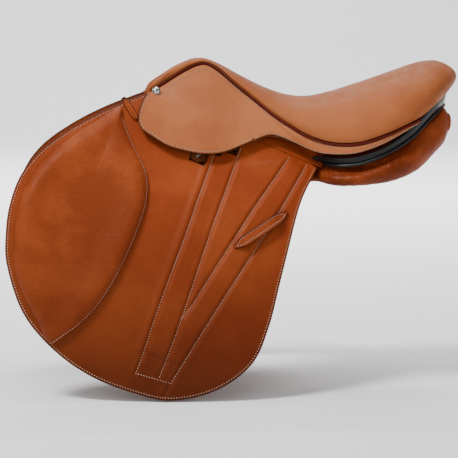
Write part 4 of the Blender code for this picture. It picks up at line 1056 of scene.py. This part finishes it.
def flap_relief(places):
    """Padding sewn between the seams, drawn in along each seam, in millimetres."""
    near_edge = away_from(places, np.concatenate((PADDED_RING, PADDED_RING[:1])))
    padded = np.where(inside(places, PADDED_RING), smoothstep(near_edge, 0.0, 7.0), 0.0)
    seam = np.min([away_from(places, line) for line in SEAM_LINES + [CREASE_LINE]], axis=0)
    edge = away_from(places, FLAP_LINE)
    lift = 2.2 * padded * (1 - np.exp(-(seam / 6.5) ** 1.6))
    for height, distance, width in (
            (1.1, away_from(places, SOFT_LINE), 3.6),    # ridge at the padding's front
            (1.0, seam - 5.5, 3.2),                      # swellings on both sides of a seam
            (-1.3, seam, 2.3),                           # leather drawn in by its stitches
            (-0.9, away_from(places, FOOT_LINE), 2.2),   # fold at the padding's foot
            (-0.4, edge - STITCH_IN, 1.2),               # stitches along the edge
            (-0.35, edge - 8.2, 1.0)):                   # line creased inside them
        lift += height * np.exp(-(distance / width) ** 2)
    return lift * smoothstep(places[:, 1], 3.0, 14.0)


def build_flap():
    outline = FLAP_LINE + list(NOTCH)
    bm = leather(outline, [FLAP_LINE, NOTCH[1:]], FLAP_DEPTH, FLAP_THICK, 2.1, flap_relief)
    surface = BVHTree.FromBMesh(bm)
    pieces = emit_pair("flap_leather", bm, "%s_flap", FLAP_TAN, "flap_%s")
    declare_sheets(outline)
    rows = [stitch_line([p for p in FLAP_LINE if p[1] > 4.0], outline)]
    rows += [seam[seam[:, 1] > 5.0] for seam in SEAM_LINES]
    first, last = (Vector(end) for end in SEAM_FOOT)
    rows.append([to_fold(*first.lerp(last, k / 12)) for k in range(13)])
    for row in rows:
        sew_on_layer("%s_flap", row, FLAP_DEPTH, surface)


# Height of the knee pad over the flap, a roll round a shallow basin, its profile smoothed three times
PAD_SHARES = np.linspace(0.0, 1.0, 401)
PAD_HEIGHTS = np.interp(PAD_SHARES, *zip(*PAD_PROFILE))
for _ in range(3):
    PAD_HEIGHTS[12:389] = np.convolve(PAD_HEIGHTS, np.ones(25) / 25, "valid")
# The first share of the pad's mesh lies flat on the flap, the rest is crowded towards the pad's middle
PAD_BACK = 0.12
PAD_CROWDING = 1.35
# The pad's seam: its first edge point, how far inside the edge it lies, and its height over the flap
PAD_SEAM = (9, 1.3, 4.9)


def build_knee_pad():
    columns, rows = 46, 220
    edge = [Vector(p) for p in fold_line(PAD_EDGE, rows, True)]
    middle = Vector(to_fold(*PAD_CENTRE))

    def place(a, b):
        share, height = a / PAD_BACK, 0.0
        if a > PAD_BACK:
            share = 1.0 - ((a - PAD_BACK) / (1 - PAD_BACK)) ** PAD_CROWDING
            height = float(np.interp(share, PAD_SHARES, PAD_HEIGHTS))
        spot = middle.lerp(edge[round(b * rows) % rows], share)
        if height:
            soft = noise.noise(Vector((spot.x * 0.02, spot.y * 0.03, 1.0)))
            crumple = noise.noise(Vector((spot.x * 0.05, spot.y * 0.16, 4.0)))
            height += (0.5 * soft + 0.16 * crumple) * float(smoothstep(1.0 - share, 0.12, 0.4))
        return layer(spot.x, spot.y, PAD_SEAT - height)
    bm = tube_grid(columns, rows, place)
    surface = BVHTree.FromBMesh(bm)
    pieces = emit_pair("knee_pad_leather", bm, "%s_flap", PAD_TAN, "knee_pad_%s")
    first, distance, height = PAD_SEAM
    seam = fold_line(PAD_EDGE[first:], 60)
    inwards = np.array(middle) - seam
    seam += inwards / np.linalg.norm(inwards, axis=1, keepdims=True) * distance
    sew_on_layer("%s_flap", seam, PAD_SEAT - height, surface)


def strap_half(width, point, along):
    """Half the strap's width at a share of its length: pointed ends and a fuller middle."""
    return width * (point + (0.5 - point) * min(math.sin(math.pi * along) * 1.9, 1.0) ** 0.8)


def strap(ends, width, thickness, gap, point, bead):
    """A strap over the flap between two places, its edges rounded and painted.

    It stands off by the gap, and its middle swells by the bead or, below 0, has a groove.
    """
    a, b = (Vector(to_fold(*end)) for end in ends)
    across = Vector((-(b - a).y, (b - a).x)).normalized()

    def place(along, over, back):
        half = strap_half(width, point, along)
        side = 2 * over - 1
        spot = a.lerp(b, along) + across * half * side
        lift = gap * min(math.sin(math.pi * along) * 1.6, 1.0) ** 1.5
        drop = rounded((1 - abs(side)) * half, STRAP_ROUND)
        depth = FLAP_DEPTH - 0.6 - lift
        if back:
            return layer(spot.x, spot.y, depth - min(drop, thickness / 2))
        return layer(spot.x, spot.y, depth - thickness - bead * (1 - side * side) + drop)
    bm = slab(44, 12, place)
    edges = [[tuple(a.lerp(b, k / 60) + across * strap_half(width, point, k / 60) * way) for k in range(61)]
             for way in (1, -1)]
    flat = np.array([to_fold(v.co.x, v.co.z) for v in bm.verts])
    paint = 1 - smoothstep(np.min([away_from(flat, edge) for edge in edges], axis=0), 0.7, 2.2)
    # With a groove, the strap is also darkened along its middle, in the edge paint's colour
    if bead < 0:
        paint = np.maximum(paint, 0.8 * (1 - smoothstep(away_from(flat, [tuple(a), tuple(b)]), 0.3, 1.2)))
    paint_edges(bm, paint)
    return bm, a, b, across


def build_straps():
    """The keeper with its sewn oval, and the small loop at the flap's front top."""
    bm, a, b, across = strap(KEEPER_ENDS, KEEPER_WIDTH, 3.0, 8.0, KEEPER_POINT, 0.5)
    surface = BVHTree.FromBMesh(bm)
    emit_pair("keeper", bm, "%s_flap", FLAP_TAN, "flap_keeper_%s")
    ring = []
    for way in (1, -1):
        for k in range(4, 57):
            t = k / 60 if way > 0 else 1 - k / 60
            half = strap_half(KEEPER_WIDTH, KEEPER_POINT, t) - 3.2
            if half > 0:
                ring.append(tuple(a.lerp(b, t) + across * half * way))
    sew_on_layer("%s_flap", ring + ring[:1], FLAP_DEPTH - 6.0, surface)
    bm = strap(LOOP_ENDS, 9.0, 3.0, 0.0, 0.3, -0.9)[0]
    emit_pair("loop", bm, "%s_flap", LOOP_TAN, "front_loop_%s")


def build_flap_tops():
    """The flap's top, nailed to the rail in front of and behind the stirrup bar."""
    for where, outline in FLAP_TOPS.items():
        bm = leather(outline, [outline[1:]], FLAP_DEPTH, RAIL_DEPTH - 0.3 - FLAP_DEPTH, 6.0)
        emit_pair("flap_nailing_" + where, bm, "saddle", FLAP_TAN, "flap_top_" + where + "_%s")


# Billets and sweat flap

def billet_outline(x, low):
    top = layer(fold_place(x, BILLET_TOP), BILLET_TOP, BILLET_DEPTH + BILLET_THICK / 2).z
    wide = BILLET_WIDTH / 2
    half = [(3.0, top), (wide - 3, top - 2.5), (wide, top - 7.0), (wide, low + 18.0), (wide - 3, low + 6.0),
            (5.5, low)]
    ring = [(x + out, z) for out, z in half] + [(x - out, z) for out, z in reversed(half)]
    dense = []
    for (ax, az), (bx, bz) in zip(ring, ring[1:] + ring[:1]):
        steps = max(int(math.hypot(bx - ax, bz - az) / 6), 1)
        dense += [to_fold(ax + (bx - ax) * k / steps, az + (bz - az) * k / steps) for k in range(steps)]
    return dense, top


def paint_hole_shade(bm, places):
    """Darkens a spot for each buckle hole, with the colour of the edge paint: painted shade where a hole
    would show through.
    """
    rim = bm.verts.layers.float["rim"]
    for vert in bm.verts:
        spot = to_fold(vert.co.x, vert.co.z)
        if any(math.dist(spot, place) < HOLE_RADIUS for place in places):
            vert[rim] = 1.0


def build_billets():
    for which, (x, low) in BILLETS.items():
        body = "%s_" + which + "_billet"
        outline, top = billet_outline(x, low)
        bm = leather(outline, [outline + outline[:1]], BILLET_DEPTH, BILLET_THICK, 3.2)
        paint_hole_shade(bm, [to_fold(x, z) for z in np.arange(low + 30.0, top - 90.0, HOLE_PITCH)])
        surface = BVHTree.FromBMesh(bm)
        emit_pair("billet_strap_" + which, bm, body, BILLET_BROWN, "billet_" + which + "_%s")
        for out in (8.6, -8.6):
            row = [to_fold(x + out, z) for z in np.linspace(top - 14, low + 20, 60)]
            sew_on_layer(body, row, BILLET_DEPTH, surface)


def build_sweat_flap():
    edge = [tuple(p) for p in fold_line(SWEAT_EDGE, 150)]
    bm = leather(edge, [edge + edge[:1]], SWEAT_DEPTH, SWEAT_THICK, 8.0)
    surface = BVHTree.FromBMesh(bm)
    pieces = emit_pair("sweat_flap_leather", bm, "saddle", BILLET_BROWN, "sweat_flap_%s")
    declare_sheets(edge)
    sew_on_layer("saddle", stitch_line(edge, edge), SWEAT_DEPTH, surface)


# Panels, rear facing, pommel and channel

def panel_sections():
    """Rings of ten points round the panel, front to rear: outer side, foot, inner side, top."""
    sections = []
    for x, top_n, low_n in PANEL_FRONT_STATIONS:
        outer, inner = [], []
        for share, full in ((0.0, 0.75), (0.33, 1.0), (0.67, 1.0), (1.0, 0.75)):
            n = top_n + (low_n - top_n) * share
            s = fold_place(x, n)
            outer.append(layer(s, n, PANEL_DEPTH))
            inner.append(layer(s, n, PANEL_DEPTH + PANEL_FRONT_THICK * full))
        foot = (outer[3] + inner[3]) / 2 + Vector((0, 2.0, -7.0))
        top = (outer[0] + inner[0]) / 2 + Vector((0, -2.0, 5.0))
        sections.append(outer + [foot] + inner[::-1] + [top])
    for x, ring in PANEL_REAR_SECTIONS:
        sections.append([Vector((x, out, z)) for out, z in ring])
    return sections


def panel_ring(sections, share, sides):
    line = knots([curve_at(points, share) for points in zip(*sections)], True)
    return [on_knots(line, i / sides) for i in range(sides)]


def domed_end(ring, before):
    """Rings that close a stuffed tube with a soft dome past its last ring."""
    centre = ring.mean(axis=0)
    ahead = centre - before.mean(axis=0)
    ahead /= np.linalg.norm(ahead)
    bulge = 0.45 * np.linalg.norm(ring - centre, axis=1).mean()
    turns = [k * math.pi / 18 for k in range(1, 10)]
    return np.array([centre + (ring - centre) * (0.03 + 0.97 * math.cos(turn))
                     + ahead * bulge * math.sin(turn) for turn in turns])


# The panel behind the flap: how much its top rises over a stretch of x, how far its rear end is drawn in,
# and how many rings are narrowed there, with the share of the last one's section that this takes away
PANEL_RISES = ((7, 120, 165), (5, 220, 300))
PANEL_DRAWN_IN = (5, 240, 330)
PANEL_NARROWED = (14, 0.55)


def panel_rings(steps, sides):
    """The panel's rings, evened out, with its top raised and its rear end rounded."""
    sections = panel_sections()
    rings = np.array([panel_ring(sections, i / steps, sides) for i in range(steps + 1)], float)
    for _ in range(3):
        rings = sum(np.roll(rings, k, axis=1) for k in range(-2, 3)) / 5
        rings[4:steps - 3] = sum(rings[4 + k:steps - 3 + k] for k in range(-2, 3)) / 5
    x, z = rings[:, :, 0], rings[:, :, 2]
    middle = z.mean(axis=1, keepdims=True)
    high = smoothstep((z - middle) / (z.max(axis=1, keepdims=True) - middle), -0.3, 0.5)
    z += high * sum(rise * smoothstep(x, *span) for rise, *span in PANEL_RISES)
    drawn_in, *span = PANEL_DRAWN_IN
    x -= drawn_in * smoothstep(x, *span)
    count, taken = PANEL_NARROWED
    narrower = np.sqrt(1 - taken * (np.arange(1, count + 1) / count) ** 2)[:, None, None]
    middle = rings[-count:].mean(axis=1, keepdims=True)
    rings[-count:] = middle + (rings[-count:] - middle) * narrower
    return np.concatenate((domed_end(rings[0], rings[1])[::-1], rings, domed_end(rings[-1], rings[-2])))


def build_panel():
    """The stuffed panel, its leather creased behind the flap."""
    sides = 72
    rings = panel_rings(190, sides)
    steps = len(rings) - 1
    centres = [Vector(ring.mean(axis=0)) for ring in rings]

    def place(a, b):
        i, j = round(a * steps), round(b * sides) % sides
        spot = Vector(rings[i][j])
        rear = float(smoothstep(spot.x, 120.0, 150.0))
        share = j / sides
        turn = spot.x + 0.25 * spot.z
        soft = noise.noise(spot * 0.022)
        fold = noise.noise(Vector((turn * 0.16, share * 5.0, 7.0)))
        fine = noise.noise(Vector((turn * 0.42, share * 9.0, 3.0)))
        give = rear * (0.9 * soft + 0.5 * fold + 0.2 * fine - 0.2) + (1 - rear) * (0.5 * soft - 0.3)
        return spot + (spot - centres[i]).normalized() * give
    bm = tube_grid(steps, sides, place)
    pieces = emit_pair("panel_leather", bm, "saddle", PANEL_TAN, "panel_%s", 60)


def half_curve(points, share):
    last = points[-2]
    points = tuple(points) + ((last[0], -last[1], last[2]),)
    return curve_at(points, share * (len(points) - 2) / (len(points) - 1))


# The rear facing under the cantle: its top's rise and its foot's depth and drop against the seat's edge,
# how far its face and back stand off its middle, and the piping's radius, drop and first share
FACING_RISE, FACING_IN, FACING_DROP = 1.4, 6, 13
PIPING_RADIUS, PIPING_DROP, PIPING_FROM = 2.4, 2.2, 0.11


def facing_edges():
    top, low = list(FACING_TOP), list(FACING_LOW)
    for line in FACING_LINES:
        u = line / SEAT_GRID
        top.append(under_seat(u, 1.0, SEAT_LEATHER) + Vector((0, 0, FACING_RISE)))
        low.append(under_seat(u, 1.0, SEAT_LEATHER + FACING_IN) - Vector((0, 0, FACING_DROP)))
    return top, low


def build_rear():
    """Black facing under the seat's rear, a rolled band, and the piping along its foot."""
    top, low = facing_edges()

    def place(a, b, back):
        share = 1 - abs(2 * a - 1)
        along = half_curve(low, min(share + 0.01, 1.0)) - half_curve(low, max(share - 0.01, 0))
        if share > 0.985:
            along = Vector((0, -1, 0))
        out = Vector((-along.y, along.x, 0)).normalized()
        if (out.x if share > 0.6 else out.y) < 0:
            out = -out
        roll = math.sqrt(max(1 - (2 * b - 1) ** 2, 0.0))
        stands = -3.2 - 0.3 * roll if back else 1.6 * roll - 0.6
        return mirrored(half_curve(top, share).lerp(half_curve(low, share), b) + out * stands, a > 0.5)
    emit("rear_facing_leather", slab(150, 14, place), 1, "saddle", PATENT,
         ("rear_facing",), 50)
    half = [half_curve(low, PIPING_FROM + (1 - PIPING_FROM) * i / 110) - Vector((0, 0, PIPING_DROP))
            for i in range(111)]
    line = [mirrored(p, False) for p in half] + half[-2::-1]
    emit("rear_piping_cord", cord_mesh(line, PIPING_RADIUS, 18), 1, "saddle", PATENT,
         ("rear_piping",))


def build_pommel():
    """The rolled edge of leather round the seat's front."""
    def place(a, b, front):
        v = (5 / 6) * abs(2 * a - 1)
        ahead = (under_seat(0.0, v, 0) - under_seat(0.03, v, 0)).normalized()
        roll = 1.0 - (2 * b - 1) ** 4
        spot = under_seat(0.0, v, SEAT_LEATHER / 2 + 22.0 * b) + ahead * (
            0.6 + 2.1 * front * (0.45 + 0.55 * roll))
        return mirrored(spot, a > 0.5)
    emit("pommel_leather", slab(90, 12, place), 1, "saddle", SKIRT_TAN,
         ("pommel_facing",), 50)


def build_channel():
    """The leather over the channel, between the panels' inner edges."""
    sections = panel_sections()
    edges = []
    for step in range(16, 101):
        ring = panel_ring(sections, step / 104, 20)
        edges.append(Vector((ring[16].x, ring[16].y, max(p.z for p in ring[14:18]) + 0.8)))

    def place(a, b, back):
        edge = edges[round(a * (len(edges) - 1))]
        across = 2 * b - 1
        sag = 0.36 * math.cos(across * math.pi / 2)
        return Vector((edge.x, edge.y * across, edge.z + 2.0 * (1 - back) - sag))
    bm = slab(len(edges) - 1, 16, place)
    emit("channel_leather", bm, 1, "saddle", PANEL_TAN, ("gullet_strip",), 50)


NAIL_PLACE = (-111, 90)


def build_nails():
    """Domed nail: its profile turned about its own axis and set square to the skirt."""
    bm = bmesh.new()
    profile = [(0.0, 0.0), (6.5, 0.0), (6.5, 0.6), (6.2, 1.0)]
    for i in range(12):
        angle = i * math.pi / 24
        profile.append((5.9 * math.cos(angle), 1.0 + 3.8 * math.sin(angle)))
    profile.append((0.0, 4.8))
    line = [bm.verts.new((r, 0, z)) for r, z in profile]
    edges = [bm.edges.new(pair) for pair in zip(line, line[1:])]
    bmesh.ops.spin(bm, geom=line + edges, axis=(0, 0, 1), cent=(0, 0, 0), angle=math.tau, steps=48)
    bmesh.ops.remove_doubles(bm, verts=bm.verts, dist=0.01)
    outwards(bm)
    s, n = to_fold(*NAIL_PLACE)
    turn = Vector((0, 0, 1)).rotation_difference(Vector(layer_normals(s, n, 0.0)))
    bm.transform(Matrix.Translation(layer(s, n, 0.6)) @ turn.to_matrix().to_4x4())
    emit_pair("nail", bm, "saddle", CHROME, "head_nail_%s")


def finish_cad_nodes():
    """Gives each hidden hard piece of the part its own finish."""
    for name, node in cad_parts.items():
        for starts, finish in CAD_FINISHES:
            if name.startswith(starts):
                node.data.materials.clear()
                node.data.materials.append(finish)


# Camera, floor and light, in metres

CAMERA_AIM = (0.0, 0.0, -0.1185)
CAMERA_AWAY = 3.0
CAMERA_TURN, CAMERA_RISE = math.radians(-4.0), math.radians(5.0)
CAMERA_LENS, CAMERA_SENSOR = 157.2, 36.0
FLOOR_Z = -0.3445
FLOOR_FRONT, FLOOR_REAR, FLOOR_HALF = -11.0, 8.0, 14.0
WALL_BEND, WALL_TOP = 3.0, 8.0
WORLD_LIGHT = 0.32
# name, place, aim, width in metres, power in watts
LAMPS = (
    ("key", (-1.5, -1.25, 2.5), (0.0, 0.0, -0.05), 0.8, 120.0),
    ("front", (-0.9, -3.2, 1.3), (0.0, 0.0, -0.1), 1.8, 22.0),
    ("fill", (2.2, -1.8, 0.6), (0.1, 0.0, -0.05), 1.0, 13.0),
    ("top", (0.4, 0.2, 2.4), (0.0, 0.0, 0.0), 1.6, 22.0),
    ("wall", (0.0, 3.4, 4.2), (0.0, 8.0, -0.3), 3.5, 900.0),
)


def point_at(item, way):
    item.rotation_mode = "QUATERNION"
    item.rotation_quaternion = way.to_track_quat("-Z", "Y")


def build_stage():
    camera = in_scene("camera", bpy.data.cameras.new("camera"))
    level = math.cos(CAMERA_RISE)
    back = Vector((math.sin(CAMERA_TURN) * level, -math.cos(CAMERA_TURN) * level, math.sin(CAMERA_RISE)))
    camera.location = Vector(CAMERA_AIM) + back * CAMERA_AWAY
    point_at(camera, -back)
    camera.data.lens = CAMERA_LENS
    camera.data.sensor_width = CAMERA_SENSOR
    bpy.context.scene.camera = camera

    bm = bmesh.new()
    profile = [(FLOOR_FRONT, FLOOR_Z), (FLOOR_REAR, FLOOR_Z)]
    for turn in (k / 12 * math.pi / 2 for k in range(1, 13)):
        profile.append((FLOOR_REAR + WALL_BEND * math.sin(turn), FLOOR_Z + WALL_BEND * (1 - math.cos(turn))))
    profile.append((FLOOR_REAR + WALL_BEND, WALL_TOP))
    rows = [[bm.verts.new((x, y, z)) for x in (-FLOOR_HALF, FLOOR_HALF)] for y, z in profile]
    for a, b in zip(rows, rows[1:]):
        bm.faces.new((a[0], a[1], b[1], b[0]))
    mesh = bpy.data.meshes.new("backdrop")
    bm.to_mesh(mesh)
    bm.free()
    mesh.shade_smooth()
    mesh.materials.append(plain_finish("pale_paper", 3.0, (0.86, 0.86, 0.86), (0.88, 0.88, 0.88)))
    in_scene("backdrop", mesh)

    world = bpy.data.worlds.new("soft_studio")
    world.use_nodes = True
    background = world.node_tree.nodes["Background"].inputs
    background["Color"].default_value = (1.0, 1.0, 1.0, 1.0)
    background["Strength"].default_value = WORLD_LIGHT
    bpy.context.scene.world = world
    for name, place, aim, size, power in LAMPS:
        data = bpy.data.lights.new(name, "AREA")
        data.shape = "DISK"
        data.size = size
        data.energy = power
        lamp = in_scene(name, data)
        lamp.location = place
        point_at(lamp, Vector(aim) - Vector(place))


# Everything is built here, the stitches last, because each leather adds its own sewn lines

build_stage()
finish_cad_nodes()
build_seat()
build_welt()
build_band()
build_lobe()
build_flap()
build_knee_pad()
build_straps()
build_flap_tops()
build_billets()
build_sweat_flap()
build_panel()
build_rear()
build_pommel()
build_channel()
build_nails()
make_stitches()
